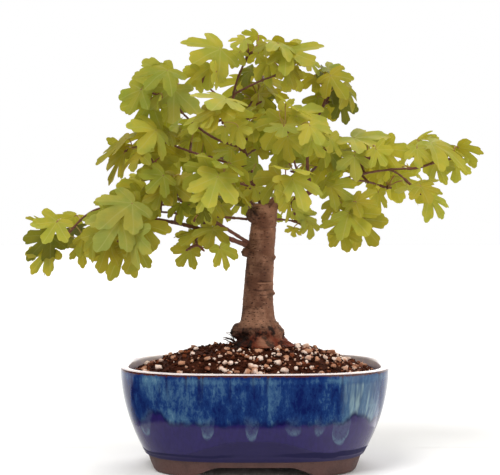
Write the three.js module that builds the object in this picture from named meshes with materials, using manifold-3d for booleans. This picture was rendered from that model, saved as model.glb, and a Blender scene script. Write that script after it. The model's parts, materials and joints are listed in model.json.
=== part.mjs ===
// Field maple bonsai in a glazed pot: pot, soil, trunk, boughs and masses of foliage.
// Millimetres. +X runs to the right, +Y away from the viewer, +Z up, and the pot stands on Z = 0.

import * as THREE from "three";
import { mergeVertices } from "three/addons/utils/BufferGeometryUtils.js";
import Module from "manifold-3d";

const wasm = await Module();
wasm.setup();

// Clear space between neighbouring solids, and the finest detail that is kept
const GAP = 0.3;
const FINEST = 0.01;

// Pot: an oblong bowl with rounded corners on four bracket feet
const POT_LENGTH = 199;
const POT_DEPTH = 154;
const POT_HEIGHT = 76;
const POT_SQUARENESS = 3;
const POT_SIDES = 32;
const POT_WALL = 6;
const POT_FLOOR = 20;
const BOWL_BASE_LENGTH = 163;
const RIM_ROUND = 1.6;
const FOOT_HEIGHT = 12;
const FOOT_TOP_LENGTH = 159;
const FOOT_TOE_LENGTH = 152;
const FOOT_INNER_LENGTH = 132;
const FOOT_RECESS = 8;
const ARCH_HEIGHT = 7.4;
const FRONT_ARCH = { wide: 98, narrow: 48 };
const SIDE_ARCH = { wide: 62, narrow: 28 };
const DRAIN_DIAMETER = 14;
const DRAIN_SPACING = 84;

// Soil: a mound with a flat seat for the trunk
const SOIL_EDGE_HEIGHT = 70;
const SOIL_TOP_HEIGHT = 89;
const SOIL_SEAT_RADIUS = 27;
const SOIL_STEPS = 6;

// Larger stones on the soil: half-widths, form beside the half-width, lift of the middle and the
// nearest and furthest radius of their field
const STONE_COUNT = 68;
const STONE_RADII = [2.5, 4];
const STONE_FORM = [1, 0.82, 0.66];
const STONE_LIFT = 0.12;
const STONE_FIELD = [39, 87];

// Trunk: from its flat cut at the soil to the fork
const TRUNK_FOOT = [1.8, 0, SOIL_TOP_HEIGHT + GAP];
const TRUNK_BEND = [1.8, 0, 142];
const TRUNK_TOP = [8.6, 0, 195];
const TRUNK_TOP_RADIUS = 9;
const TRUNK_TAPER = 3.2;
const ROOT_FLARE = 9.5;
const ROOT_FLARE_HEIGHT = 9;
const ROOT_RIDGES = 5;
const ROOT_RIDGE_DEPTH = 2.6;
const ROOT_LEAN = 5.5;
const COLLAR_HEIGHT = 12.5;
const COLLAR_SWELL = 3.8;
const COLLAR_SPAN = 4.2;
const TRUNK_SIDES = 15;
const TRUNK_STEPS = 18;
const TRUNK_KNOBS = [
  { at: [0.5, -3, 187], radius: 6.6 },
  { at: [12.6, -2.5, 155.5], radius: 3.2 },
  { at: [10.4, -2.5, 129], radius: 4 },
  { at: [-6.8, -4.5, 159], radius: 4.2 },
  { at: [-11.5, -7, 100.5], radius: 6.2 },
  { at: [13.2, -5, 102.5], radius: 6 },
];
const CUT_STUB = { from: [8, -1, 190], to: [15.6, -4.5, 198], radius: 3.6 };

// Boughs: parent limb, share of the way along it, compass turn from +X, rise above level, length,
// offset of the middle and thickness at both ends. Leaves is the mass at the tip: the middle and
// half-extents of its space, the number of leaves, the length of a blade and the seed of the growth.
const BOUGHS = [
  {
    name: "left_lower", from: "trunk", share: 0.66, turn: 184, rise: 17, length: 86,
    bend: [0, 0, 3.5], thick: [5.4, 2.6],
    leaves: { middle: [-95, -27, 171], reach: [33, 32, 34], count: 11, blade: 32, seed: 102 },
  },
  {
    name: "left_upper", from: "left_lower", share: 0.13, turn: 189, rise: 33.6, length: 82,
    bend: [0, 0, 0.5], thick: [3.8, 2.2],
    leaves: { middle: [-70, -24, 204], reach: [28, 24, 20], count: 5, blade: 29, seed: 33 },
  },
  {
    name: "left_shoot", from: "trunk", share: 0.885, turn: 183, rise: 4.7, length: 116,
    bend: [0, 9, 0], thick: [2.8, 1.6],
    leaves: { middle: [-144, -8, 165], reach: [30, 30, 27], count: 9, blade: 32, seed: 7 },
  },
  {
    name: "left_spur", from: "left_lower", share: 0.55, turn: 245, rise: -35, length: 11,
    bend: [0, 0, 0], thick: [1.9, 1.5],
    leaves: { middle: [-39, -14, 162], reach: [28, 22, 21], count: 6, blade: 28, seed: 3 },
  },
  {
    name: "left_inner", from: "left_upper", share: 0.35, turn: 97, rise: 5, length: 28,
    bend: [0, 0, 0], thick: [1.9, 1.5],
    leaves: { middle: [-36, 30, 192], reach: [28, 26, 20], count: 5, blade: 31, seed: 75 },
  },
  {
    name: "left_back", from: "left_upper", share: 0.6, turn: 134, rise: 4, length: 56,
    bend: [0, 0, 1], thick: [2.1, 1.5],
    leaves: { middle: [-98, 40, 190], reach: [30, 30, 25], count: 7, blade: 32, seed: 9 },
  },
  {
    name: "leader", from: "trunk", share: 0.98, turn: 171, rise: 72, length: 82,
    bend: [-3.5, 0, 0], thick: [8, 3.4],
  },
  {
    name: "apex", from: "leader", share: 0.98, turn: 348, rise: 74, length: 33,
    bend: [-2, 0, 0], thick: [2.6, 1.6],
    leaves: { middle: [-5, 0, 309], reach: [17, 19, 15], count: 6, blade: 19, seed: 101 },
  },
  {
    name: "top_right", from: "apex", share: 0.25, turn: 348, rise: 23, length: 36,
    bend: [0, 0, 1], thick: [2.2, 1.5],
    leaves: { middle: [23, -8, 297], reach: [28, 30, 23], count: 9, blade: 29, seed: 26 },
  },
  {
    name: "top_left", from: "leader", share: 0.95, turn: 200, rise: 38, length: 28,
    bend: [0, 0, 0], thick: [2, 1.5],
    leaves: { middle: [-33, -10, 297], reach: [25, 26, 22], count: 7, blade: 28, seed: 80 },
  },
  {
    name: "upper_left", from: "leader", share: 0.6, turn: 187, rise: 30, length: 54,
    bend: [0, 0, -6], thick: [3, 1.6],
    leaves: { middle: [-72, -6, 275], reach: [32, 34, 27], count: 11, blade: 31, seed: 20 },
  },
  {
    name: "mid_left", from: "leader", share: 0.4, turn: 190, rise: 16.5, length: 68,
    bend: [0, 0, -2], thick: [2.8, 1.6],
    leaves: { middle: [-85, -12, 230], reach: [34, 34, 27], count: 11, blade: 32, seed: 9 },
  },
  {
    name: "right_main", from: "trunk", share: 0.97, turn: 355, rise: 21, length: 39,
    bend: [0, 0, -1.5], thick: [6, 4.4],
  },
  {
    name: "right_upright", from: "right_main", share: 0.95, turn: 63, rise: 86, length: 48,
    bend: [-4, 0, 0], thick: [4, 1.8],
    leaves: { middle: [56, 0, 276], reach: [26, 31, 27], count: 10, blade: 31, seed: 61 },
  },
  {
    name: "right_long", from: "right_main", share: 0.97, turn: 359, rise: 12.8, length: 74,
    bend: [0, 0, 4], thick: [3, 1.6],
    leaves: { middle: [139, -2, 229], reach: [34, 30, 21], count: 8, blade: 32, seed: 80 },
  },
  {
    name: "right_low", from: "right_main", share: 0.88, turn: 347, rise: -10, length: 31,
    bend: [0, 0, 2.5], thick: [2.6, 1.6],
    leaves: { middle: [74, -17, 181], reach: [27, 28, 24], count: 9, blade: 30, seed: 39 },
  },
  {
    name: "right_small", from: "trunk", share: 0.89, turn: 350, rise: -3.4, length: 24,
    bend: [0, 0, 1], thick: [2.4, 1.5],
    leaves: { middle: [36, -3, 179], reach: [15, 17, 13], count: 5, blade: 19, seed: 29 },
  },
  {
    name: "right_cross", from: "right_main", share: 0.8, turn: 240, rise: 55, length: 34,
    bend: [0, -2, 0], thick: [2.2, 1.5],
    leaves: { middle: [30, -36, 248], reach: [28, 28, 25], count: 9, blade: 31, seed: 92 },
  },
  {
    name: "right_inner", from: "right_long", share: 0.4, turn: 30, rise: 43, length: 19,
    bend: [0, 0, 0], thick: [1.9, 1.5],
    leaves: { middle: [87, -2, 229], reach: [31, 30, 20], count: 8, blade: 29, seed: 42 },
  },
  {
    name: "right_back", from: "right_long", share: 0.28, turn: 47, rise: -4, length: 52,
    bend: [0, 0, 2], thick: [2.1, 1.5],
    leaves: { middle: [106, 46, 208], reach: [30, 30, 25], count: 7, blade: 32, seed: 64 },
  },
  {
    name: "right_tip", from: "right_long", share: 0.8, turn: 325, rise: -30, length: 16,
    bend: [0, 0, 1], thick: [1.8, 1.5],
    leaves: { middle: [127, -14, 199], reach: [22, 23, 20], count: 4, blade: 31, seed: 97 },
  },
  {
    name: "front_low", from: "trunk", share: 0.93, turn: 292, rise: 23, length: 42,
    bend: [0, 0, 2], thick: [2.4, 1.5],
    leaves: { middle: [23, -56, 203], reach: [26, 25, 22], count: 7, blade: 33, seed: 93 },
  },
  {
    name: "front_left", from: "leader", share: 0.15, turn: 236, rise: 10, length: 39,
    bend: [0, 0, 2], thick: [2.3, 1.5],
    leaves: { middle: [-24, -52, 207], reach: [27, 27, 25], count: 7, blade: 31, seed: 48 },
  },
  {
    name: "front_high", from: "leader", share: 0.62, turn: 253, rise: 22, length: 42,
    bend: [0, 0, 2], thick: [2.3, 1.5],
    leaves: { middle: [-23, -54, 253], reach: [28, 27, 22], count: 8, blade: 32, seed: 55 },
  },
  {
    name: "back_left", from: "leader", share: 0.35, turn: 129, rise: 14, length: 52,
    bend: [0, 0, 3], thick: [2.7, 1.5],
    leaves: { middle: [-52, 54, 236], reach: [34, 31, 28], count: 9, blade: 32, seed: 108 },
  },
  {
    name: "back_middle", from: "leader", share: 0.5, turn: 60, rise: 20, length: 22,
    bend: [0, 0, 0], thick: [2, 1.5],
    leaves: { middle: [14, 30, 241], reach: [29, 22, 23], count: 7, blade: 30, seed: 77 },
  },
  {
    name: "back_top", from: "leader", share: 0.75, turn: 73, rise: 32, length: 44,
    bend: [0, 0, 2], thick: [2.4, 1.5],
    leaves: { middle: [0, 48, 279], reach: [33, 31, 25], count: 9, blade: 31, seed: 7 },
  },
  {
    name: "back_right", from: "right_main", share: 0.7, turn: 75, rise: 26, length: 48,
    bend: [0, 0, 3], thick: [2.7, 1.5],
    leaves: { middle: [54, 54, 231], reach: [34, 31, 28], count: 9, blade: 32, seed: 13 },
  },
  {
    name: "back_low", from: "trunk", share: 0.9, turn: 101, rise: 10, length: 44,
    bend: [0, 0, 2], thick: [2.9, 1.5],
    leaves: { middle: [-4, 60, 193], reach: [30, 28, 22], count: 7, blade: 31, seed: 77 },
  },
];
const BOUGH_SIDES = 5;
const BOUGH_STEP_LENGTH = 16;
const BOUGH_COLLAR = 0.45;
const BOUGH_COLLAR_LENGTH = 4;

// Foliage rule: pairs of leaves along a stem and its twigs, each blade turned out from the crown and
// hanging down
const GOLDEN_TURN = 2.399963;
const LEAVES_PER_SHOOT = 4;
const NODE_SHARES = [0.95, 0.72, 0.5];
const NODE_LEAVES = 2;
const TWIG_SPREAD = 0.36;
const TWIG_ROOTS = [0.45, 0.85];
const STEM_RADII = [1.1, 1];
const TWIG_RADII = [0.8, 0.75];
const PETIOLE_RADII = [0.45, 0.4];
const PETIOLE_SINK = 0.16;
const PETIOLE_ARCH = 0.12;
const CROWN_PULL = 0.7;
const DROOP = 42;
const DROOP_CHANGE = 30;
const DROOP_SPREAD = 30;
const ROLL = 45;
const ROLL_SPREAD = 40;
const FRONT_SHARE = 0.3;
const SWING = 0.9;
const BLADE_MIDDLE = 0.42;
const BLADE_HEART = 0.2;
const BLADE_SAG = 0.2;
const BLADE_THICKNESS = 1.1;
const BLADE_CHANGE = 0.32;
const SPACE_SQUARENESS = 3;
const LEAF_CLEARANCE = 4.4;
const LIMB_CLEARANCE = 2.4;
const TWIG_CLEARANCE = 3.4;
const TRIES = 20;

// Half of a blade's outline: turn from the midrib in degrees and reach as a share of the blade
const LOBES = [
  [0, 1],
  [13, 0.88],
  [25, 0.44],
  [39, 0.82],
  [54, 0.82],
  [79, 0.35],
  [104, 0.47],
];
const BLADE_BASE = [180, 0.06];

// Spots inside a blade that stand for it, besides its outline, when distances are taken
const BLADE_RIBS = [
  [0, 0.25],
  [0, 0.5],
  [0, 0.75],
  ...[-1, 1].flatMap((half) => [[46 * half, 0.3], [46 * half, 0.6], [23 * half, 0.35], [90 * half, 0.25]]),
];

const UP = new THREE.Vector3(0, 0, 1);
const radians = THREE.MathUtils.degToRad;
const point = (place) => new THREE.Vector3(...place);

// A repeatable number from 0 to 1 for a key
function chance(key) {
  const wave = Math.sin(key * 12.9898 + 4.1414) * 43758.5453;
  return wave - Math.floor(wave);
}

// A closed solid from a geometry, without the faces that collapse at its poles
function solid(geometry) {
  const bare = new THREE.BufferGeometry();
  bare.setAttribute("position", geometry.getAttribute("position"));
  bare.setIndex(geometry.getIndex());
  const merged = mergeVertices(bare, 1e-4);
  const index = merged.getIndex().array;
  const corners = [];
  for (let i = 0; i < index.length; i += 3) {
    const [a, b, c] = index.slice(i, i + 3);
    if (a !== b && b !== c && c !== a) corners.push(a, b, c);
  }
  return new wasm.Manifold(new wasm.Mesh({
    numProp: 3,
    vertProperties: new Float32Array(merged.getAttribute("position").array),
    triVerts: new Uint32Array(corners),
  }));
}

// Changes every vertex of a geometry in place
function shape(geometry, move) {
  const spots = geometry.getAttribute("position");
  for (let i = 0; i < spots.count; i += 1) {
    const moved = move(new THREE.Vector3().fromBufferAttribute(spots, i));
    spots.setXYZ(i, moved.x, moved.y, moved.z);
  }
  return geometry;
}

// Turns a round plan into the pot's oblong plan with rounded corners
function oblong(spot) {
  const turn = Math.atan2(spot.y, spot.x);
  const across = Math.abs(Math.cos(turn)) ** POT_SQUARENESS;
  const deep = Math.abs((Math.sin(turn) * POT_LENGTH) / POT_DEPTH) ** POT_SQUARENESS;
  const stretch = (across + deep) ** (-1 / POT_SQUARENESS);
  return spot.set(spot.x * stretch, spot.y * stretch, spot.z);
}

// A solid turned from a profile of radius and height, then carried to the oblong plan
function oblongLathe(profile) {
  const lathe = new THREE.LatheGeometry(profile, POT_SIDES);
  lathe.rotateX(Math.PI / 2);
  return solid(shape(lathe, oblong));
}

// Half the bowl's outside length at a height
function bowlRadius(height) {
  const climb = (height - FOOT_HEIGHT) / (POT_HEIGHT - FOOT_HEIGHT);
  return POT_LENGTH / 2 - ((POT_LENGTH - BOWL_BASE_LENGTH) / 2) * (1 - climb) ** 2;
}

// Evenly spaced heights from low to high
function heights(low, high, steps) {
  return Array.from({ length: steps + 1 }, (_, i) => low + ((high - low) * i) / steps);
}

// A tunnel under the pot between two feet, with curved sides
function archTunnel({ wide, narrow }) {
  const outline = new THREE.Shape();
  const foot = wide / 2;
  const crown = narrow / 2;
  const half = (foot + crown) / 2;
  outline.moveTo(-foot, -1);
  outline.bezierCurveTo(-half, 0, -half, ARCH_HEIGHT, -crown, ARCH_HEIGHT);
  outline.lineTo(crown, ARCH_HEIGHT);
  outline.bezierCurveTo(half, ARCH_HEIGHT, half, 0, foot, -1);
  outline.closePath();
  const block = new THREE.ExtrudeGeometry(outline, {
    depth: POT_LENGTH,
    bevelEnabled: false,
    curveSegments: 6,
  });
  block.rotateX(Math.PI / 2);
  block.translate(0, POT_LENGTH / 2, 0);
  return block;
}

function potSolid() {
  const wall = heights(FOOT_HEIGHT, POT_HEIGHT - RIM_ROUND, 5);
  const inside = heights(POT_FLOOR, POT_HEIGHT - RIM_ROUND, 3).reverse();
  const lip = POT_LENGTH / 2;
  const profile = [
    new THREE.Vector2(0, FOOT_RECESS),
    new THREE.Vector2(FOOT_INNER_LENGTH / 2, FOOT_RECESS),
    new THREE.Vector2(FOOT_INNER_LENGTH / 2 + 1, 0),
    new THREE.Vector2(FOOT_TOE_LENGTH / 2, 0),
    new THREE.Vector2(FOOT_TOP_LENGTH / 2, FOOT_HEIGHT - 1.2),
    ...wall.map((height) => new THREE.Vector2(bowlRadius(height), height)),
    new THREE.Vector2(lip - RIM_ROUND, POT_HEIGHT),
    new THREE.Vector2(lip - POT_WALL + RIM_ROUND, POT_HEIGHT),
    ...inside.map((height) => new THREE.Vector2(bowlRadius(height) - POT_WALL, height)),
    new THREE.Vector2(0, POT_FLOOR),
  ];
  const drain = new THREE.CylinderGeometry(DRAIN_DIAMETER / 2, DRAIN_DIAMETER / 2, 2 * POT_FLOOR, 16);
  drain.rotateX(Math.PI / 2);
  const drains = [-1, 1].map((end) => {
    return solid(drain.clone().translate((end * DRAIN_SPACING) / 2, 0, POT_FLOOR));
  });
  return wasm.Manifold.difference([
    oblongLathe(profile),
    solid(archTunnel(FRONT_ARCH)),
    solid(archTunnel(SIDE_ARCH).rotateZ(Math.PI / 2)),
    ...drains,
  ]);
}

// Height of the mound at a radius of the round plan
function moundHeight(radius, edge) {
  const share = THREE.MathUtils.clamp((edge - radius) / (edge - SOIL_SEAT_RADIUS), 0, 1);
  return SOIL_EDGE_HEIGHT + (SOIL_TOP_HEIGHT - SOIL_EDGE_HEIGHT) * Math.sin((share * Math.PI) / 2) ** 1.3;
}

// The i-th stone: its place is dealt out evenly round the trunk, its size and turn by chance
function stoneSolid(i, edge) {
  const [near, far] = STONE_FIELD;
  const radius = Math.sqrt(near ** 2 + ((far ** 2 - near ** 2) * (i + chance(i + 0.3))) / STONE_COUNT);
  const turn = GOLDEN_TURN * i;
  const place = oblong(new THREE.Vector3(radius * Math.cos(turn), radius * Math.sin(turn), 0));
  const wide = THREE.MathUtils.lerp(...STONE_RADII, chance(i + 0.7) ** 2);
  const stone = new THREE.IcosahedronGeometry(1, 0);
  stone.scale(...STONE_FORM.map((share) => share * wide));
  stone.rotateX(chance(i + 0.1) - 0.5);
  stone.rotateZ(2 * Math.PI * chance(i + 0.9));
  stone.translate(place.x, place.y, moundHeight(radius, edge) + STONE_LIFT * wide);
  return solid(stone);
}

function soilSolid() {
  const wall = heights(POT_FLOOR, POT_HEIGHT - RIM_ROUND, 3).filter((height) => height < SOIL_EDGE_HEIGHT);
  const clear = POT_WALL + 1.4 * GAP;
  const edge = bowlRadius(SOIL_EDGE_HEIGHT) - clear;
  const mound = heights(edge, SOIL_SEAT_RADIUS, SOIL_STEPS);
  const earth = oblongLathe([
    new THREE.Vector2(0, POT_FLOOR + GAP),
    new THREE.Vector2(bowlRadius(POT_FLOOR) - clear, POT_FLOOR + GAP),
    ...wall.slice(1).map((height) => new THREE.Vector2(bowlRadius(height) - clear, height)),
    ...mound.map((radius) => new THREE.Vector2(radius, moundHeight(radius, edge))),
    new THREE.Vector2(0, SOIL_TOP_HEIGHT),
  ]);
  const stones = Array.from({ length: STONE_COUNT }, (_, i) => stoneSolid(i, edge));
  return mainBody(wasm.Manifold.union([earth, ...stones]));
}

// A limb's solid: a cylinder whose rings follow the curve, each as wide as the limb is there.
// Extra adds clear space all round, also past both ends.
function limbSolid(limb, extra = 0) {
  const { curve, radiusAt, sides, steps } = limb;
  const frames = curve.computeFrenetFrames(steps);
  const rod = new THREE.CylinderGeometry(1, 1, 1, sides, steps);
  return solid(shape(rod, (spot) => {
    const share = THREE.MathUtils.clamp(spot.y + 0.5, 0, 1);
    const ring = Math.round(share * steps);
    const wide = radiusAt(share, Math.atan2(spot.z, spot.x)) + extra;
    const past = extra * ((ring === steps ? 1 : 0) - (ring === 0 ? 1 : 0));
    return curve.getPointAt(share)
      .addScaledVector(frames.normals[ring], spot.x * wide)
      .addScaledVector(frames.binormals[ring], -spot.z * wide)
      .addScaledVector(frames.tangents[ring], past);
  }));
}

// A thin rod along a curve, for stems, twigs and petioles
function rodSolid(curve, radii, sides, steps) {
  const radiusAt = (share) => radii[0] + (radii[1] - radii[0]) * share;
  return limbSolid({ curve, radiusAt, sides, steps });
}

// Trunk radius: a taper, the flare and ridges of the roots, which reach to the right, and a collar
function trunkRadius(share, turn) {
  const height = share * (TRUNK_TOP[2] - TRUNK_FOOT[2]);
  const flare = Math.exp(-height / ROOT_FLARE_HEIGHT);
  const collar = COLLAR_SWELL * Math.exp(-(((height - COLLAR_HEIGHT) / COLLAR_SPAN) ** 2));
  const ridges = Math.cos(ROOT_RIDGES * turn + 0.6) * ROOT_RIDGE_DEPTH;
  const roots = (ROOT_FLARE + ridges - Math.sin(turn) * ROOT_LEAN) * flare;
  return TRUNK_TOP_RADIUS + TRUNK_TAPER * (1 - share) + roots + collar;
}

function trunkLimb() {
  const curve = new THREE.QuadraticBezierCurve3(point(TRUNK_FOOT), point(TRUNK_BEND), point(TRUNK_TOP));
  return { name: "trunk", curve, radiusAt: trunkRadius, sides: TRUNK_SIDES, steps: TRUNK_STEPS };
}

function trunkSolid(limb, extra = 0) {
  const knobs = TRUNK_KNOBS.map(({ at, radius }) => {
    return solid(new THREE.SphereGeometry(radius + extra, 8, 6).translate(...at));
  });
  const stub = limbSolid({
    curve: new THREE.LineCurve3(point(CUT_STUB.from), point(CUT_STUB.to)),
    radiusAt: () => CUT_STUB.radius,
    sides: 10,
    steps: 1,
  }, extra);
  return wasm.Manifold.union([limbSolid(limb, extra), ...knobs, stub]);
}

// A bough's limb, from its parent's middle line to its tip
function boughLimb({ name, share, turn, rise, length, bend, thick }, parent) {
  const start = parent.curve.getPointAt(share);
  const heading = new THREE.Vector3(
    Math.cos(radians(turn)) * Math.cos(radians(rise)),
    Math.sin(radians(turn)) * Math.cos(radians(rise)),
    Math.sin(radians(rise)),
  );
  const end = start.clone().addScaledVector(heading, length);
  const middle = start.clone().add(end).multiplyScalar(0.5).addScaledVector(point(bend), 2);
  const radiusAt = (along) => {
    const collar = BOUGH_COLLAR * Math.exp((-along * length) / BOUGH_COLLAR_LENGTH);
    return ((thick[0] + (thick[1] - thick[0]) * along) / 2) * (1 + collar);
  };
  return {
    name,
    curve: new THREE.QuadraticBezierCurve3(start, middle, end),
    radiusAt,
    sides: BOUGH_SIDES,
    steps: Math.max(3, Math.round(length / BOUGH_STEP_LENGTH)),
  };
}

// Points along a limb with its radius at each, for keeping leaves clear of it
function limbSamples({ curve, radiusAt }) {
  const count = Math.ceil(curve.getLength() / 3);
  return Array.from({ length: count + 1 }, (_, i) => {
    return { spot: curve.getPointAt(i / count), radius: radiusAt(i / count, 0) };
  });
}

// The i-th of count directions spread evenly over a ball
function spread(i, count, twist) {
  const level = 1 - (2 * i + 1) / count;
  const ring = Math.sqrt(1 - level * level);
  const turn = GOLDEN_TURN * i + twist;
  return new THREE.Vector3(ring * Math.cos(turn), ring * Math.sin(turn), level);
}

// A blade's outline once round, from its tip
const OUTLINE = [...LOBES, BLADE_BASE, ...LOBES.slice(1).reverse().map(([turn, reach]) => [-turn, reach])];

// A point of a posed blade at a turn from its midrib and a reach from its petiole
function bladePoint({ base, axis, side, normal, length }, [turn, reach]) {
  return base.clone()
    .addScaledVector(axis, length * reach * Math.cos(radians(turn)))
    .addScaledVector(side, length * reach * Math.sin(radians(turn)))
    .addScaledVector(normal, -length * BLADE_SAG * reach * reach);
}

// How one leaf of a mass hangs: out from the crown and down, rolled to face the nearer side
function leafPose(mass, index, attempt) {
  const key = mass.seed * 997 + index * 31 + attempt * 7;
  const out = spread(index, mass.count, mass.seed + SWING * (chance(key) - 0.5) * (1 + attempt / 4));
  const level = new THREE.Vector3(mass.middle.x, mass.middle.y, 0).normalize().multiplyScalar(CROWN_PULL);
  level.add(new THREE.Vector3(out.x, out.y, 0)).normalize();
  const droop = radians(DROOP - DROOP_CHANGE * out.z + DROOP_SPREAD * (chance(key + 1) - 0.5));
  const axis = level.clone().multiplyScalar(Math.cos(droop)).addScaledVector(UP, -Math.sin(droop));
  const flat = level.clone().multiplyScalar(Math.sin(droop)).addScaledVector(UP, Math.cos(droop));
  const towards = flat.clone().cross(axis).y > 0 ? 1 : -1;
  const facing = out.y < FRONT_SHARE ? 1 : -1;
  const roll = ROLL * Math.abs(level.x) + ROLL_SPREAD * (chance(key + 2) - 0.5);
  const normal = flat.applyAxisAngle(axis, radians(roll) * towards * facing);
  const length = mass.blade * (1 + BLADE_CHANGE * (chance(key + 3) - 0.5)) * (1 - 0.015 * attempt);
  return { out, axis, normal, side: axis.clone().cross(normal), length };
}

// Whether a spot lies in the space of a mass: a ball stretched to its half-extents and squared a little
function isInside(mass, spot) {
  const share = spot.sub(mass.middle).divide(mass.reach).toArray();
  return share.reduce((sum, part) => sum + Math.abs(part) ** SPACE_SQUARENESS, 0) <= 1;
}

// Moves a leaf as far out in its space as it fits, and tells whether it does
function fitLeaf(mass, pose) {
  for (let reach = 0.85; reach > 0.1; reach -= 0.1) {
    pose.base = mass.middle.clone()
      .addScaledVector(pose.out.clone().multiply(mass.reach), reach)
      .addScaledVector(pose.axis, -pose.length * BLADE_MIDDLE);
    if (OUTLINE.every((spot) => isInside(mass, bladePoint(pose, spot)))) return true;
  }
  return false;
}

// Whether points keep a clearance from spots, each of which may have a radius of its own
function keepsClear(points, spots, clearance) {
  return points.every((place) => spots.every(({ spot, radius }) => {
    return place.distanceToSquared(spot) > (radius + clearance) ** 2;
  }));
}

// A thin blade: a ball whose equator is carried to the outline and whose poles are its thickest place
function bladeSolid(pose) {
  const ball = new THREE.SphereGeometry(1, OUTLINE.length, 2);
  return solid(shape(ball, (spot) => {
    if (Math.abs(spot.y) > 0.5) {
      return bladePoint(pose, [0, BLADE_HEART])
        .addScaledVector(pose.normal, (Math.sign(spot.y) * BLADE_THICKNESS) / 2);
    }
    const step = Math.round((Math.atan2(spot.z, spot.x) / (2 * Math.PI)) * OUTLINE.length);
    return bladePoint(pose, OUTLINE[(step + OUTLINE.length) % OUTLINE.length]);
  }));
}

// A petiole's line from its root, sunk into the blade along its midrib
function petioleCurve(root, { base, axis, length }) {
  const end = base.clone().addScaledVector(axis, length * PETIOLE_SINK);
  const reach = root.distanceTo(base);
  const middle = base.clone().addScaledVector(axis, -reach * 0.3).addScaledVector(UP, reach * PETIOLE_ARCH);
  return new THREE.QuadraticBezierCurve3(root, middle, end);
}

// The stem of a mass from the bough's tip to the middle of its space, and the twigs along the stem
function branchMass(mass, bough) {
  const heading = bough.curve.getTangentAt(1);
  const start = bough.curve.getPointAt(1).addScaledVector(heading, GAP);
  const lead = start.clone().addScaledVector(heading, start.distanceTo(mass.middle) * 0.4);
  const stem = new THREE.QuadraticBezierCurve3(start, lead, mass.middle);
  const count = Math.round(mass.count / LEAVES_PER_SHOOT) - 1;
  const twigs = [];
  for (let i = 0; i < count; i += 1) {
    const root = stem.getPointAt(TWIG_ROOTS[0] + ((TWIG_ROOTS[1] - TWIG_ROOTS[0]) * (i + 0.5)) / count);
    const tip = spread(i, count, mass.order).multiply(mass.reach).multiplyScalar(TWIG_SPREAD);
    tip.add(mass.middle);
    const middle = root.clone().add(tip).multiplyScalar(0.5).addScaledVector(UP, 1.5);
    twigs.push(new THREE.QuadraticBezierCurve3(root, middle, tip));
  }
  return { stem, twigs };
}

const thinSamples = (curve) => limbSamples({ curve, radiusAt: () => 0 });
const apart = (one, other) => one.minGap(other, GAP) > 0.8 * GAP;

// Leaves of a mass that fit its space and keep clear of limbs, twigs and other leaves
function placeLeaves(mass, spots) {
  const nodes = [mass.stem, ...mass.twigs].flatMap((shoot) => {
    return NODE_SHARES.map((share) => ({ spot: shoot.getPointAt(share), free: NODE_LEAVES }));
  });
  const leaves = [];
  for (let index = 0; index < mass.count; index += 1) {
    for (let attempt = 0; attempt < TRIES; attempt += 1) {
      const pose = leafPose(mass, index, attempt);
      if (!fitLeaf(mass, pose)) continue;
      const node = nodes.filter(({ free }) => free > 0).reduce((best, other) => {
        return other.spot.distanceTo(pose.base) < best.spot.distanceTo(pose.base) ? other : best;
      });
      const petiole = petioleCurve(node.spot, pose);
      const blade = [...OUTLINE, ...BLADE_RIBS].map((spot) => bladePoint(pose, spot));
      const along = thinSamples(petiole);
      const open = along.map(({ spot }) => spot);
      const clear = keepsClear(blade, spots.limbs, LIMB_CLEARANCE)
        && keepsClear(blade, spots.twigs, TWIG_CLEARANCE)
        && keepsClear(blade, spots.leaves, LEAF_CLEARANCE)
        && keepsClear(open, spots.leaves, TWIG_CLEARANCE)
        && keepsClear(open, spots.limbs, TWIG_CLEARANCE / 2);
      if (!clear) continue;
      spots.leaves.push(...blade.map((spot) => ({ spot, radius: 0 })));
      spots.twigs.push(...along.slice(0, -2));
      leaves.push({ pose, petiole });
      node.free -= 1;
      break;
    }
  }
  return leaves;
}

// One mass of foliage fused into one solid that stays clear of the solids before it
function foliageSolid(mass, blocks) {
  const twigs = mass.twigs.map((twig) => rodSolid(twig, TWIG_RADII, 4, 2));
  const frame = [rodSolid(mass.stem, STEM_RADII, 4, 3), ...twigs];
  const leaves = mass.leaves.map(({ pose, petiole }) => {
    const straight = new THREE.LineCurve3(petiole.v0, petiole.v2);
    return bladeSolid(pose).add(rodSolid(straight, PETIOLE_RADII, 3, 1));
  });
  const kept = leaves.filter((leaf) => blocks.every((block) => apart(leaf, block)));
  blocks.push(...frame, ...kept);
  return wasm.Manifold.union([...frame, ...kept]);
}

// A mesh with its own material
function addMesh(group, name, whole, colour, roughness) {
  const { vertProperties, triVerts } = whole.getMesh();
  const geometry = new THREE.BufferGeometry();
  geometry.setAttribute("position", new THREE.BufferAttribute(new Float32Array(vertProperties), 3));
  geometry.setIndex(new THREE.BufferAttribute(new Uint32Array(triVerts), 1));
  geometry.computeVertexNormals();
  const material = new THREE.MeshStandardMaterial({ color: colour, roughness, metalness: 0 });
  const mesh = new THREE.Mesh(geometry, material);
  mesh.name = name;
  group.add(mesh);
}

// The largest piece of a solid, without slivers and loose scraps
function mainBody(whole) {
  const pieces = whole.asOriginal().simplify(FINEST).decompose();
  return pieces.reduce((best, piece) => (piece.volume() > best.volume() ? piece : best));
}

const plant = new THREE.Group();
addMesh(plant, "pot", potSolid(), 0x1c3262, 0.15);
addMesh(plant, "soil", soilSolid(), 0x3a2618, 0.95);

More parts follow.
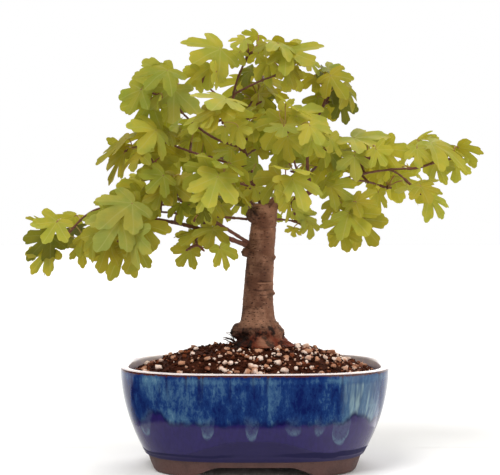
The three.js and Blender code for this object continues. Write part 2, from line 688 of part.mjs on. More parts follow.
const trunk = trunkLimb();
const limbs = new Map([["trunk", trunk]]);
const limbSolids = [trunkSolid(trunk)];
const swollenSolids = [trunkSolid(trunk, GAP)];
addMesh(plant, "trunk", limbSolids[0], 0x613f2e, 0.85);
for (const spec of BOUGHS) {
  const limb = boughLimb(spec, limbs.get(spec.from));
  limbs.set(spec.name, limb);
  limbSolids.push(mainBody(wasm.Manifold.difference([limbSolid(limb), ...swollenSolids])));
  swollenSolids.push(limbSolid(limb, GAP));
  addMesh(plant, `bough_${spec.name}`, limbSolids.at(-1), 0x5a3a2c, 0.8);
}

const masses = BOUGHS.filter(({ leaves }) => leaves).map(({ name, leaves }, i) => {
  const { middle, reach, count, blade, seed } = leaves;
  const mass = { name, middle: point(middle), reach: point(reach), count, blade, seed, order: i };
  return { ...mass, ...branchMass(mass, limbs.get(name)) };
});
const spots = {
  limbs: [...limbs.values()].flatMap(limbSamples),
  twigs: masses.flatMap(({ stem, twigs }) => [stem, ...twigs].flatMap(thinSamples)),
  leaves: [],
};
for (const mass of masses) {
  mass.leaves = placeLeaves(mass, spots);
  addMesh(plant, `foliage_${mass.name}`, mainBody(foliageSolid(mass, limbSolids)), 0x9c9529, 0.7);
}

// The origin lies under the middle of the whole plant
const bounds = new THREE.Box3().setFromObject(plant);
const centre = bounds.getCenter(new THREE.Vector3());
plant.position.set(-centre.x, -centre.y, -bounds.min.z);

const bonsai = new THREE.Group();
bonsai.name = "field_maple_bonsai";
bonsai.add(plant);
export default bonsai;
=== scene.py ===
"""Field maple bonsai in a glazed pot, dressed on the packed frame of its solids.

The rule of growth counts in millimetres from the middle of the pot's base, as the part's source
does. Meshes are in metres in the frame's own axes.
"""
import json
import math
from functools import lru_cache
from typing import NamedTuple, Optional

import bmesh
import bpy
import numpy as np
from bpy.props import FloatProperty, FloatVectorProperty, IntProperty, PointerProperty
from mathutils import Matrix, Vector, noise

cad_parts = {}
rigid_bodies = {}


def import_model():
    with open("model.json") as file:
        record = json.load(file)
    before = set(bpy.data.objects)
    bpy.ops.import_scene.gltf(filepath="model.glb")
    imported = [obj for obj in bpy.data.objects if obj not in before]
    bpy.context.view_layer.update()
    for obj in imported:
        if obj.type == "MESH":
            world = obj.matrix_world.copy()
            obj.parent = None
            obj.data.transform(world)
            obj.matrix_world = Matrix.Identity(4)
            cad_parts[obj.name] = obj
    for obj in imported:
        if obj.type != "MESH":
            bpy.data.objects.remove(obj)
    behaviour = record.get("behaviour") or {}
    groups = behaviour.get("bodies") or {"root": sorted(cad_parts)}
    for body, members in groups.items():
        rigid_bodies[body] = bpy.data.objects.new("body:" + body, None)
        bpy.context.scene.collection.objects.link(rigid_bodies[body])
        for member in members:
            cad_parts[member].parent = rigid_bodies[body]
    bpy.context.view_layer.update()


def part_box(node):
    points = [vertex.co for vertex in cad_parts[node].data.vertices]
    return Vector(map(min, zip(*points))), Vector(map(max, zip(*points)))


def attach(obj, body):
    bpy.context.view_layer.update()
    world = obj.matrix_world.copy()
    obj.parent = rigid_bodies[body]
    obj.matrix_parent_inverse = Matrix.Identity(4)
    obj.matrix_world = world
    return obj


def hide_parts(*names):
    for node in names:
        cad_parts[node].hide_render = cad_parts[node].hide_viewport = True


bl_info = {
    "name": "Field maple bonsai",
    "version": (1, 0, 0),
    "blender": (4, 5, 0),
    "location": "View3D > Sidebar > Bonsai",
    "description": "Builds a field maple bonsai in a glazed pot on its packed frame",
    "category": "Add Mesh",
}

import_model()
POT_LOW, POT_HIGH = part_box("pot")
POT_SIZE = POT_HIGH - POT_LOW
POT_MIDDLE = np.array(((POT_LOW.x + POT_HIGH.x) / 2, (POT_LOW.y + POT_HIGH.y) / 2, POT_LOW.z))
MM = 0.001
UP = np.array((0.0, 0.0, 1.0))


class Mass(NamedTuple):
    """The space of one mass of foliage, and how it grows."""

    middle: tuple
    reach: tuple
    count: int
    blade: float
    seed: int


class Bough(NamedTuple):
    """One limb: its parent, its place on it, its course and what it carries."""

    name: str
    parent: str
    share: float
    turn: float
    rise: float
    length: float
    bend: tuple
    thick: tuple
    mass: Optional[Mass] = None


BOUGHS = (
    Bough("left_lower", "trunk", 0.66, 184, 17, 86, (0, 0, 3.5), (5.4, 2.6),
          Mass((-95, -27, 171), (33, 32, 34), 11, 32, 102)),
    Bough("left_upper", "left_lower", 0.13, 189, 33.6, 82, (0, 0, 0.5), (3.8, 2.2),
          Mass((-70, -24, 204), (28, 24, 20), 5, 29, 33)),
    Bough("left_shoot", "trunk", 0.885, 183, 4.7, 116, (0, 9, 0), (2.8, 1.6),
          Mass((-144, -8, 165), (30, 30, 27), 9, 32, 7)),
    Bough("left_spur", "left_lower", 0.55, 245, -35, 11, (0, 0, 0), (1.9, 1.5),
          Mass((-39, -14, 162), (28, 22, 21), 6, 28, 3)),
    Bough("left_inner", "left_upper", 0.35, 97, 5, 28, (0, 0, 0), (1.9, 1.5),
          Mass((-36, 30, 192), (28, 26, 20), 5, 31, 75)),
    Bough("left_back", "left_upper", 0.6, 134, 4, 56, (0, 0, 1), (2.1, 1.5),
          Mass((-98, 40, 190), (30, 30, 25), 7, 32, 9)),
    Bough("leader", "trunk", 0.98, 171, 72, 82, (-3.5, 0, 0), (8, 3.4)),
    Bough("apex", "leader", 0.98, 348, 74, 33, (-2, 0, 0), (2.6, 1.6),
          Mass((-5, 0, 309), (17, 19, 15), 6, 19, 101)),
    Bough("top_right", "apex", 0.25, 348, 23, 36, (0, 0, 1), (2.2, 1.5),
          Mass((23, -8, 297), (28, 30, 23), 9, 29, 26)),
    Bough("top_left", "leader", 0.95, 200, 38, 28, (0, 0, 0), (2, 1.5),
          Mass((-33, -10, 297), (25, 26, 22), 7, 28, 80)),
    Bough("upper_left", "leader", 0.6, 187, 30, 54, (0, 0, -6), (3, 1.6),
          Mass((-72, -6, 275), (32, 34, 27), 11, 31, 20)),
    Bough("mid_left", "leader", 0.4, 190, 16.5, 68, (0, 0, -2), (2.8, 1.6),
          Mass((-85, -12, 230), (34, 34, 27), 11, 32, 9)),
    Bough("right_main", "trunk", 0.97, 355, 21, 39, (0, 0, -1.5), (6, 4.4)),
    Bough("right_upright", "right_main", 0.95, 63, 86, 48, (-4, 0, 0), (4, 1.8),
          Mass((56, 0, 276), (26, 31, 27), 10, 31, 61)),
    Bough("right_long", "right_main", 0.97, 359, 12.8, 74, (0, 0, 4), (3, 1.6),
          Mass((139, -2, 229), (34, 30, 21), 8, 32, 80)),
    Bough("right_low", "right_main", 0.88, 347, -10, 31, (0, 0, 2.5), (2.6, 1.6),
          Mass((74, -17, 181), (27, 28, 24), 9, 30, 39)),
    Bough("right_small", "trunk", 0.89, 350, -3.4, 24, (0, 0, 1), (2.4, 1.5),
          Mass((36, -3, 179), (15, 17, 13), 5, 19, 29)),
    Bough("right_cross", "right_main", 0.8, 240, 55, 34, (0, -2, 0), (2.2, 1.5),
          Mass((30, -36, 248), (28, 28, 25), 9, 31, 92)),
    Bough("right_inner", "right_long", 0.4, 30, 43, 19, (0, 0, 0), (1.9, 1.5),
          Mass((87, -2, 229), (31, 30, 20), 8, 29, 42)),
    Bough("right_back", "right_long", 0.28, 47, -4, 52, (0, 0, 2), (2.1, 1.5),
          Mass((106, 46, 208), (30, 30, 25), 7, 32, 64)),
    Bough("right_tip", "right_long", 0.8, 325, -30, 16, (0, 0, 1), (1.8, 1.5),
          Mass((127, -14, 199), (22, 23, 20), 4, 31, 97)),
    Bough("front_low", "trunk", 0.93, 292, 23, 42, (0, 0, 2), (2.4, 1.5),
          Mass((23, -56, 203), (26, 25, 22), 7, 33, 93)),
    Bough("front_left", "leader", 0.15, 236, 10, 39, (0, 0, 2), (2.3, 1.5),
          Mass((-24, -52, 207), (27, 27, 25), 7, 31, 48)),
    Bough("front_high", "leader", 0.62, 253, 22, 42, (0, 0, 2), (2.3, 1.5),
          Mass((-23, -54, 253), (28, 27, 22), 8, 32, 55)),
    Bough("back_left", "leader", 0.35, 129, 14, 52, (0, 0, 3), (2.7, 1.5),
          Mass((-52, 54, 236), (34, 31, 28), 9, 32, 108)),
    Bough("back_middle", "leader", 0.5, 60, 20, 22, (0, 0, 0), (2, 1.5),
          Mass((14, 30, 241), (29, 22, 23), 7, 30, 77)),
    Bough("back_top", "leader", 0.75, 73, 32, 44, (0, 0, 2), (2.4, 1.5),
          Mass((0, 48, 279), (33, 31, 25), 9, 31, 7)),
    Bough("back_right", "right_main", 0.7, 75, 26, 48, (0, 0, 3), (2.7, 1.5),
          Mass((54, 54, 231), (34, 31, 28), 9, 32, 13)),
    Bough("back_low", "trunk", 0.9, 101, 10, 44, (0, 0, 2), (2.9, 1.5),
          Mass((-4, 60, 193), (30, 28, 22), 7, 31, 77)),
)

# Trunk, in millimetres
TRUNK_FOOT = (1.8, 0, 89.3)
TRUNK_BEND = (1.8, 0, 142)
TRUNK_TOP = (8.6, 0, 195)
TRUNK_TOP_RADIUS = 9
TRUNK_TAPER = 3.2
ROOT_FLARE = 9.5
ROOT_FLARE_HEIGHT = 9
ROOT_RIDGES = 5
ROOT_RIDGE_DEPTH = 2.6
ROOT_LEAN = 5.5
COLLAR_HEIGHT = 12.5
COLLAR_SWELL = 3.8
COLLAR_SPAN = 4.2
BOUGH_COLLAR = 0.45
BOUGH_COLLAR_LENGTH = 4

# Foliage rule, in millimetres, degrees and shares
LINE_STEPS = 200
SAMPLE_SPACING = 3
GAP = 0.3
GOLDEN_TURN = 2.399963
LEAVES_PER_SHOOT = 4
STEM_LEAD = 0.4
TWIG_ARCH = 1.5
NODE_SHARES = (0.95, 0.72, 0.5)
FINE_NODE_SHARES = (0.98, 0.84, 0.62, 0.38)
NODE_LEAVES = 2
TWIG_SPREAD = 0.36
TWIG_ROOTS = (0.45, 0.85)
PETIOLE_SINK = 0.16
PETIOLE_LEAD = 0.3
PETIOLE_ARCH = 0.12
CROWN_PULL = 0.7
DROOP = 42
DROOP_CHANGE = 30
DROOP_SPREAD = 30
ROLL = 45
ROLL_SPREAD = 40
FRONT_SHARE = 0.3
SWING = 0.9
BLADE_MIDDLE = 0.42
BLADE_SAG = 0.2
BLADE_CHANGE = 0.32
BLADE_SHRINK = 0.015
SPACE_SQUARENESS = 3
FIT_REACHES = (0.85, 0.75, 0.65, 0.55, 0.45, 0.35, 0.25, 0.15)
THICKEST_LIMB = 25


class Growth(NamedTuple):
    """How near leaves may come to leaves, limbs and twigs, tries for a place, and how loosely they hang."""

    leaf: float
    limb: float
    twig: float
    tries: int
    loose: float


MAIN_GROWTH = Growth(4.4, 2.4, 3.4, 20, 1)
FINE_GROWTH = Growth(2.4, 1.6, 1.9, 14, 2.6)
FINE_SEEDS = 500

# Short shoots on the boughs: shares of the bough between which they stand, how far apart, how
# steep, and their small masses
SPUR_SHARES = (0.42, 0.92)
SPUR_SPACING = 18
SPUR_RISE = 27
SPUR_LENGTH = 11
SPUR_REACH = (17, 17, 13)
SPUR_LEAVES = 4
SPUR_BLADE = 21
SPUR_SEEDS = (900, 13)
# More of them by bough, share of its length, turn and rise in degrees
FRONT_SPURS = (
    ("leader", 0.2, 250, 0),
    ("leader", 0.34, 272, 10),
    ("leader", 0.5, 215, 15),
    ("leader", 0.64, 300, 20),
    ("right_main", 0.5, 285, -40),
    ("right_long", 0.2, 275, -30),
    ("left_lower", 0.62, 265, 40),
    ("left_upper", 0.55, 250, -20),
)

# Half of a blade's rough outline, and spots inside it, as turn in degrees and reach
LOBES = ((0, 1), (13, 0.88), (25, 0.44), (39, 0.82), (54, 0.82), (79, 0.35), (104, 0.47))
ROUGH_OUTLINE = np.array(LOBES + ((180, 0.06),) + tuple((-turn, reach) for turn, reach in LOBES[:0:-1]))
SIDE_RIBS = ((46, 0.3), (46, 0.6), (23, 0.35), (90, 0.25))
BLADE_RIBS = np.array(
    ((0, 0.25), (0, 0.5), (0, 0.75))
    + tuple((half * turn, reach) for half in (-1, 1) for turn, reach in SIDE_RIBS)
)


def chance(key):
    """A repeatable number from 0 to 1 for a key."""
    wave = math.sin(key * 12.9898 + 4.1414) * 43758.5453
    return wave - math.floor(wave)


def unit(vector):
    """A vector, or rows of them, at length 1."""
    vector = np.asarray(vector, float)
    return vector / np.linalg.norm(vector, axis=-1, keepdims=True)


def ease(value, low, high):
    """0 below low, 1 above high and a smooth step between."""
    share = min(max((value - low) / (high - low), 0), 1)
    return share * share * (3 - 2 * share)


def between(span, share):
    """The value at a share of the way through a span."""
    return span[0] + (span[1] - span[0]) * share


class Line:
    """A curve from a start to an end drawn towards a control point, read by its own length."""

    def __init__(self, start, control, end):
        self.corners = [np.asarray(corner, float) for corner in (start, control, end)]
        self.steps = np.linspace(0, 1, LINE_STEPS + 1)
        lengths = np.linalg.norm(np.diff(self.point(self.steps), axis=0), axis=1)
        self.lengths = np.concatenate(([0], np.cumsum(lengths)))
        self.length = self.lengths[-1]

    def point(self, step):
        a, b, c = self.corners
        step = np.asarray(step, float)[..., None]
        return (1 - step) ** 2 * a + 2 * step * (1 - step) * b + step**2 * c

    def step_at(self, share):
        return np.interp(np.asarray(share, float) * self.length, self.lengths, self.steps)

    def at(self, share):
        return self.point(self.step_at(share))

    def heading(self, share):
        a, b, c = self.corners
        step = self.step_at(share)[..., None]
        return unit((1 - step) * (b - a) + step * (c - b))

    def samples(self):
        return self.at(np.linspace(0, 1, math.ceil(self.length / SAMPLE_SPACING) + 1))


class Limb(NamedTuple):
    """A trunk or bough: its middle line and its radius by share of the length and turn."""

    name: str
    line: Line
    radius: object


def trunk_radius(share, turn):
    """Taper, flare and ridges of the roots, which reach to the right, and the collar above them."""
    height = share * (TRUNK_TOP[2] - TRUNK_FOOT[2])
    flare = math.exp(-height / ROOT_FLARE_HEIGHT)
    collar = COLLAR_SWELL * math.exp(-(((height - COLLAR_HEIGHT) / COLLAR_SPAN) ** 2))
    ridges = math.cos(ROOT_RIDGES * turn + 0.6) * ROOT_RIDGE_DEPTH
    roots = (ROOT_FLARE + ridges - math.sin(turn) * ROOT_LEAN) * flare
    return TRUNK_TOP_RADIUS + TRUNK_TAPER * (1 - share) + roots + collar


def towards(turn, rise):
    """A direction from its turn and rise in degrees."""
    turn, rise = math.radians(turn), math.radians(rise)
    return np.array((math.cos(turn) * math.cos(rise), math.sin(turn) * math.cos(rise), math.sin(rise)))


def bough_limb(bough, parent):
    """A bough's limb, from its parent's middle line to its tip."""
    start = parent.line.at(bough.share)
    end = start + towards(bough.turn, bough.rise) * bough.length
    middle = (start + end) / 2 + 2 * np.array(bough.bend)

    def radius(share, turn):
        collar = BOUGH_COLLAR * math.exp(-share * bough.length / BOUGH_COLLAR_LENGTH)
        return between(bough.thick, share) / 2 * (1 + collar)

    return Limb(bough.name, Line(start, middle, end), radius)


def spread(i, count, twist):
    """The i-th of count directions spread evenly over a ball."""
    level = 1 - (2 * i + 1) / count
    ring = math.sqrt(1 - level * level)
    turn = GOLDEN_TURN * i + twist
    return np.array((ring * math.cos(turn), ring * math.sin(turn), level))


class Leaf:
    """How one leaf of a mass hangs: out from the crown and down, rolled to face the nearer side."""

    def __init__(self, mass, index, attempt, loose):
        self.key = mass.seed * 997 + index * 31 + attempt * 7
        key, pull = self.key, np.array((mass.middle[0], mass.middle[1], 0.0))
        self.out = spread(index, mass.count, mass.seed + SWING * (chance(key) - 0.5) * (1 + attempt / 4))
        level = unit(unit(pull) * CROWN_PULL + self.out * (1, 1, 0))
        sag = DROOP - DROOP_CHANGE * self.out[2] + DROOP_SPREAD * loose * (chance(key + 1) - 0.5)
        droop = math.radians(sag)
        self.axis = level * math.cos(droop) - UP * math.sin(droop)
        flat = level * math.sin(droop) + UP * math.cos(droop)
        hand = 1 if np.cross(flat, self.axis)[1] > 0 else -1
        facing = 1 if self.out[1] < FRONT_SHARE else -1
        lean = ROLL * abs(level[0]) + ROLL_SPREAD * loose * (chance(key + 2) - 0.5)
        roll = math.radians(lean) * hand * facing
        self.normal = flat * math.cos(roll) + np.cross(self.axis, flat) * math.sin(roll)
        self.side = np.cross(self.axis, self.normal)
        change = 1 + BLADE_CHANGE * (chance(key + 3) - 0.5)
        self.length = mass.blade * change * (1 - BLADE_SHRINK * attempt)
        self.base = None
        self.petiole = None

    def spots(self, polar):
        """Places of a blade at turns from its midrib and reaches from its petiole."""
        turn, reach = np.radians(polar[:, 0])[:, None], polar[:, 1][:, None] * self.length
        flat = self.axis * reach * np.cos(turn) + self.side * reach * np.sin(turn)
        return self.base + flat - self.normal * BLADE_SAG * reach**2 / self.length

    def fit(self, mass):
        """Moves the leaf as far out in its space as it fits, and tells whether it does."""
        middle, size = np.array(mass.middle, float), np.array(mass.reach, float)
        for reach in FIT_REACHES:
            self.base = middle + self.out * size * reach - self.axis * self.length * BLADE_MIDDLE
            shares = np.abs((self.spots(ROUGH_OUTLINE) - middle) / size) ** SPACE_SQUARENESS
            if (shares.sum(1) <= 1).all():
                return True
        return False

    def hang(self, root):
        """Draws the petiole from its root into the blade along its midrib."""
        reach = np.linalg.norm(root - self.base)
        control = self.base - self.axis * reach * PETIOLE_LEAD + UP * reach * PETIOLE_ARCH
        self.petiole = Line(root, control, self.base + self.axis * self.length * PETIOLE_SINK)


class Spray:
    """One mass grown: its stem, its twigs and its leaves."""

    def __init__(self, name, mass, limb, order):
        self.name, self.mass, self.leaves = name, mass, []
        middle, size = np.array(mass.middle, float), np.array(mass.reach, float)
        heading = limb.line.heading(1)
        start = limb.line.at(1) + heading * GAP
        self.stem = Line(start, start + heading * np.linalg.norm(middle - start) * STEM_LEAD, middle)
        self.twigs = []
        count = round(mass.count / LEAVES_PER_SHOOT + 1e-9) - 1
        for i in range(count):
            root = self.stem.at(TWIG_ROOTS[0] + (TWIG_ROOTS[1] - TWIG_ROOTS[0]) * (i + 0.5) / count)
            tip = spread(i, count, order) * size * TWIG_SPREAD + middle
            self.twigs.append(Line(root, (root + tip) / 2 + UP * TWIG_ARCH, tip))

    def shoots(self):
        return [self.stem, *self.twigs]

    def nodes(self, shares):
        return [[shoot.at(share), NODE_LEAVES] for shoot in self.shoots() for share in shares]


class Room:
    """Places that leaves keep clear of, each with a radius."""

    def __init__(self):
        self.places, self.radii = np.zeros((0, 3)), np.zeros(0)

    def add(self, places, radius=0.0):
        self.places = np.vstack((self.places, places))
        self.radii = np.concatenate((self.radii, np.broadcast_to(radius, len(places))))

    def keeps_clear(self, points, clearance):
        reach = clearance + THICKEST_LIMB
        near = ((self.places > points.min(0) - reach) & (self.places < points.max(0) + reach)).all(1)
        apart = ((points[:, None] - self.places[near]) ** 2).sum(2)
        return bool((apart > (self.radii[near] + clearance) ** 2).all())


def place_leaves(spray, mass, shares, growth, rooms):
    """Adds the leaves that fit their space and keep clear of limbs, twigs and other leaves."""
    nodes = spray.nodes(shares)
    for index in range(mass.count):
        for attempt in range(growth.tries):
            leaf = Leaf(mass, index, attempt, growth.loose)
            if not leaf.fit(mass):
                continue
            node = min((n for n in nodes if n[1] > 0), key=lambda n: np.linalg.norm(n[0] - leaf.base))
            leaf.hang(node[0])
            blade = leaf.spots(np.vstack((ROUGH_OUTLINE, BLADE_RIBS)))
            along = leaf.petiole.samples()
            if (
                rooms["limbs"].keeps_clear(blade, growth.limb)
                and rooms["twigs"].keeps_clear(blade, growth.twig)
                and rooms["leaves"].keeps_clear(blade, growth.leaf)
                and rooms["leaves"].keeps_clear(along, growth.twig)
                and rooms["limbs"].keeps_clear(along, growth.twig / 2)
            ):
                rooms["leaves"].add(blade)
                rooms["twigs"].add(along[:-2])
                spray.leaves.append(leaf)
                node[1] -= 1
                break


def spur_sprays(limbs):
    """Short shoots with a few small leaves each, along the boughs."""
    low, high = SPUR_SHARES
    places = list(FRONT_SPURS)
    for order, bough in enumerate(BOUGHS):
        count = int(bough.length * (high - low) / SPUR_SPACING)
        for i in range(count):
            turn = math.degrees(GOLDEN_TURN * (2 * i + order))
            places.append((bough.name, low + (high - low) * (i + 0.5) / count, turn, SPUR_RISE))
    first_seed, seed_step = SPUR_SEEDS
    sprays = []
    for order, (name, share, turn, rise) in enumerate(places):
        limb, away = limbs[name], towards(turn, rise)
        bearer = next(b.name for b in BOUGHS if b.mass and name in (b.name, b.parent))
        heading, middle = limb.line.heading(share), limb.line.at(share)
        out = unit(away - heading * (away @ heading))
        side = middle + out * limb.radius(share, 0)
        stub = Limb(bearer, Line(middle, (middle + side) / 2, side), None)
        seed = first_seed + seed_step * order
        mass = Mass(tuple(side + out * SPUR_LENGTH), SPUR_REACH, SPUR_LEAVES, SPUR_BLADE, seed)
        sprays.append(Spray(bearer, mass, stub, order))
    return sprays


# The camera's place, in millimetres
VIEW_PLACE = (-3.45, -1100, 193)
# Gaps where the sky or a bough shows from there: their radius, their middles to the right and up, and
# how far along its midrib a blade's place counts
GAP_RADIUS = 3
CROWN_GAPS = ((-41.1, 304.2), (140.3, 198.6), (-87.8, 281.8), (-82.4, 148.4), (118.5, 240.9), (7.8, 285))
GAP_BLADE_PLACE = 0.45


def in_gap(leaf):
    """Whether a leaf hangs in a gap of the crown, seen from the camera."""
    ray = leaf.base + leaf.axis * leaf.length * GAP_BLADE_PLACE - VIEW_PLACE
    seen = VIEW_PLACE - ray * VIEW_PLACE[1] / ray[1]
    return any(math.hypot(seen[0] - x, seen[2] - z) < GAP_RADIUS for x, z in CROWN_GAPS)


@lru_cache(maxsize=1)
def grown_plant(fine_share, fine_blade):
    """The limbs by name and the sprays, with the source's leaves first and finer ones between them."""
    limbs = {"trunk": Limb("trunk", Line(TRUNK_FOOT, TRUNK_BEND, TRUNK_TOP), trunk_radius)}
    for bough in BOUGHS:
        limbs[bough.name] = bough_limb(bough, limbs[bough.parent])
    leafy = [bough for bough in BOUGHS if bough.mass]
    sprays = [Spray(bough.name, bough.mass, limbs[bough.name], i) for i, bough in enumerate(leafy)]
    rooms = {kind: Room() for kind in ("limbs", "twigs", "leaves")}
    for limb in limbs.values():
        places = limb.line.samples()
        rooms["limbs"].add(places, [limb.radius(i / (len(places) - 1), 0) for i in range(len(places))])
    for spray in sprays:
        for shoot in spray.shoots():
            rooms["twigs"].add(shoot.samples())
    for spray in sprays:
        place_leaves(spray, spray.mass, NODE_SHARES, MAIN_GROWTH, rooms)
    for spray in sprays:
        mass = spray.mass
        count, blade = round(mass.count * fine_share), mass.blade * fine_blade
        fine = mass._replace(count=count, blade=blade, seed=mass.seed + FINE_SEEDS)
        place_leaves(spray, fine, FINE_NODE_SHARES, FINE_GROWTH, rooms)
    for spur in spur_sprays(limbs):
        place_leaves(spur, spur.mass, NODE_SHARES, FINE_GROWTH, rooms)
        if spur.leaves:
            rooms["twigs"].add(spur.stem.samples())
            sprays.append(spur)
    for spray in sprays:
        spray.leaves = [leaf for leaf in spray.leaves if not in_gap(leaf)]
    return limbs, sprays


def length_property(name, description, default):
    return FloatProperty(name=name, description=description, default=default, min=0, unit="LENGTH")


def share_property(name, description, default, most=1.0):
    return FloatProperty(
        name=name, description=description, default=default, min=0, max=most, subtype="FACTOR"
    )


def count_property(name, description, default):
    return IntProperty(name=name, description=description, default=default, min=0)


def light_property(name, description, default):
    return FloatProperty(name=name, description=description, default=default, min=0)


def tint_property(name, description, red, green, blue):
    colour = (red / 255, green / 255, blue / 255)
    return FloatVectorProperty(
        name=name, description=description, default=colour, size=3, min=0, max=1, subtype="COLOR_GAMMA"
    )


class PotProperties(bpy.types.PropertyGroup):
    """Sizes and glazes of the pot."""

    length: length_property("Length", "Length over the rim", POT_SIZE.x)
    depth: length_property("Depth", "Depth over the rim", POT_SIZE.y)
    height: length_property("Height", "Height from the ground to the rim", POT_SIZE.z)
    base_length: length_property("Base length", "Length of the glazed wall at its foot", 0.163)
    wall: length_property("Wall", "Thickness of the wall", 0.006)
    lip: length_property("Lip", "Rounding of the rim's edges", 0.0021)
    foot_height: length_property("Foot height", "Height of the bare clay under the glaze", 0.012)
    arch_height: length_property("Arch height", "Height of the arches between the feet", 0.0074)
    drip_height: length_property("Drip height", "Height where the runs of glaze end", 0.0385)
    drip_length: length_property("Drip length", "How far the drips on the short walls hang down", 0.0095)
    deep: tint_property("Deep blue", "Main glaze", 11, 24, 77)
    middle: tint_property("Middle blue", "Glaze where it runs thinner", 23, 51, 102)
    teal: tint_property("Teal", "Mottled runs and the ends of the drips", 70, 104, 132)
    pale: tint_property("Pale runs", "Palest runs", 156, 180, 178)
    violet: tint_property("Violet", "Smooth glaze under the runs", 38, 29, 86)
    navy: tint_property("Navy", "Dark pool of glaze by the foot", 14, 8, 60)
    cream: tint_property("Cream", "Glaze on the rim", 226, 212, 208)
    lilac: tint_property("Lilac", "Glaze inside the wall", 200, 188, 206)
    rust: tint_property("Rust", "Line under the rim where the glaze breaks", 72, 36, 30)
    clay: tint_property("Clay", "Bare clay of the feet", 84, 54, 48)


class SoilProperties(bpy.types.PropertyGroup):
    """Sizes and colours of the soil."""

    edge_height: length_property("Edge height", "Height of the soil at the wall", 0.070)
    top_height: length_property("Top height", "Height of the soil at the trunk", 0.089)
    seat_radius: length_property("Seat radius", "Radius of the level soil round the trunk", 0.027)
    pebbles: count_property("Pebbles", "Pale pumice pebbles", 1050)
    chips: count_property("Chips", "Chips of bark", 560)
    crumbs: count_property("Crumbs", "Dark crumbs of earth", 2400)
    earth: tint_property("Earth", "Dark earth", 72, 35, 21)
    pumice: tint_property("Pumice", "Pale pebbles", 244, 220, 204)
    tan: tint_property("Tan pumice", "Browner pebbles", 190, 136, 104)
    chip: tint_property("Chip", "Chips of bark", 118, 60, 34)


class BarkProperties(bpy.types.PropertyGroup):
    """Relief and colours of the wood."""

    relief: share_property("Relief", "Strength of the bark's relief", 1.0, 3.0)
    brown: tint_property("Brown", "Bark of the trunk", 108, 69, 50)
    # Also the painted shade at the left of the trunk and in its creases.
    dark: tint_property("Dark", "Cracks and pores of the bark", 46, 27, 19)
    # Also the painted highlights at the right of the trunk, on its raised creases and on the roots.
    light: tint_property("Light", "Worn bark", 166, 120, 94)
    root: tint_property("Root", "Red bark at the roots", 112, 46, 24)
    twig: tint_property("Twig", "Bark of thin boughs and twigs", 118, 70, 56)
    petiole: tint_property("Petiole", "Stalks of the leaves", 176, 150, 66)
    blush: tint_property("Blush", "Red side of the stalks", 150, 84, 62)
    cut: tint_property("Cut", "Bare wood on old cuts", 206, 176, 140)


class LeafProperties(bpy.types.PropertyGroup):
    """Growth and colours of the leaves."""

    fine_share: share_property("Finer leaves", "Finer leaves tried for each of the source's", 0.35, 3.0)
    fine_blade: share_property("Finer blade", "Length of the finer leaves beside the others", 0.6)
    fold: share_property("Fold", "How deep a blade folds along its veins", 0.18)
    curl: share_property("Curl", "How far the tips of the lobes turn up or down", 0.2)
    bright: tint_property("Bright", "Leaves in full light", 184, 180, 74)
    fresh: tint_property("Fresh", "Young leaves", 173, 169, 64)
    olive: tint_property("Olive", "Older leaves", 161, 153, 52)
    green: tint_property("Green", "Greener leaves", 156, 158, 57)
    pale: tint_property("Pale", "Greyer leaves", 167, 167, 78)
    # Painted shade: the tint of leaves in shade, dealt out mostly to masses behind.
    deep: tint_property("Deep", "Darkest leaves", 112, 113, 30)
    vein: tint_property("Vein", "Veins of the blades", 200, 194, 108)


class StageProperties(bpy.types.PropertyGroup):
    """Floor, light and camera."""

    floor: tint_property("Floor", "Pale floor", 252, 251, 250)
    sheet: length_property("Sheet", "How far the glaze mirrors the floor round the pot", 0.043)
    sky: light_property("Sky", "Light from all sides", 0.48)
    room: light_property("Room", "Brightness of the room that the glaze mirrors", 0.03)
    screen: light_property("Screen", "Brightness of the backdrop that the glaze mirrors", 2.6)
    key: light_property("Key", "Light from the front", 1.75)
    fill: light_property("Fill", "Light from the right", 1.3)
    back: light_property("Back", "Light from behind", 1.2)
    focal_length: FloatProperty(
        name="Focal length", description="Lens", default=105.6, min=1, unit="CAMERA"
    )


def linear(colour):
    """A colour as the shaders take it, from its screen values."""
    return tuple(c / 12.92 if c <= 0.04045 else ((c + 0.055) / 1.055) ** 2.4 for c in colour) + (1.0,)


def shaded(colour, share):
    """A share of the light of a shader's colour."""
    return tuple(share * c for c in colour[:3]) + (1.0,)


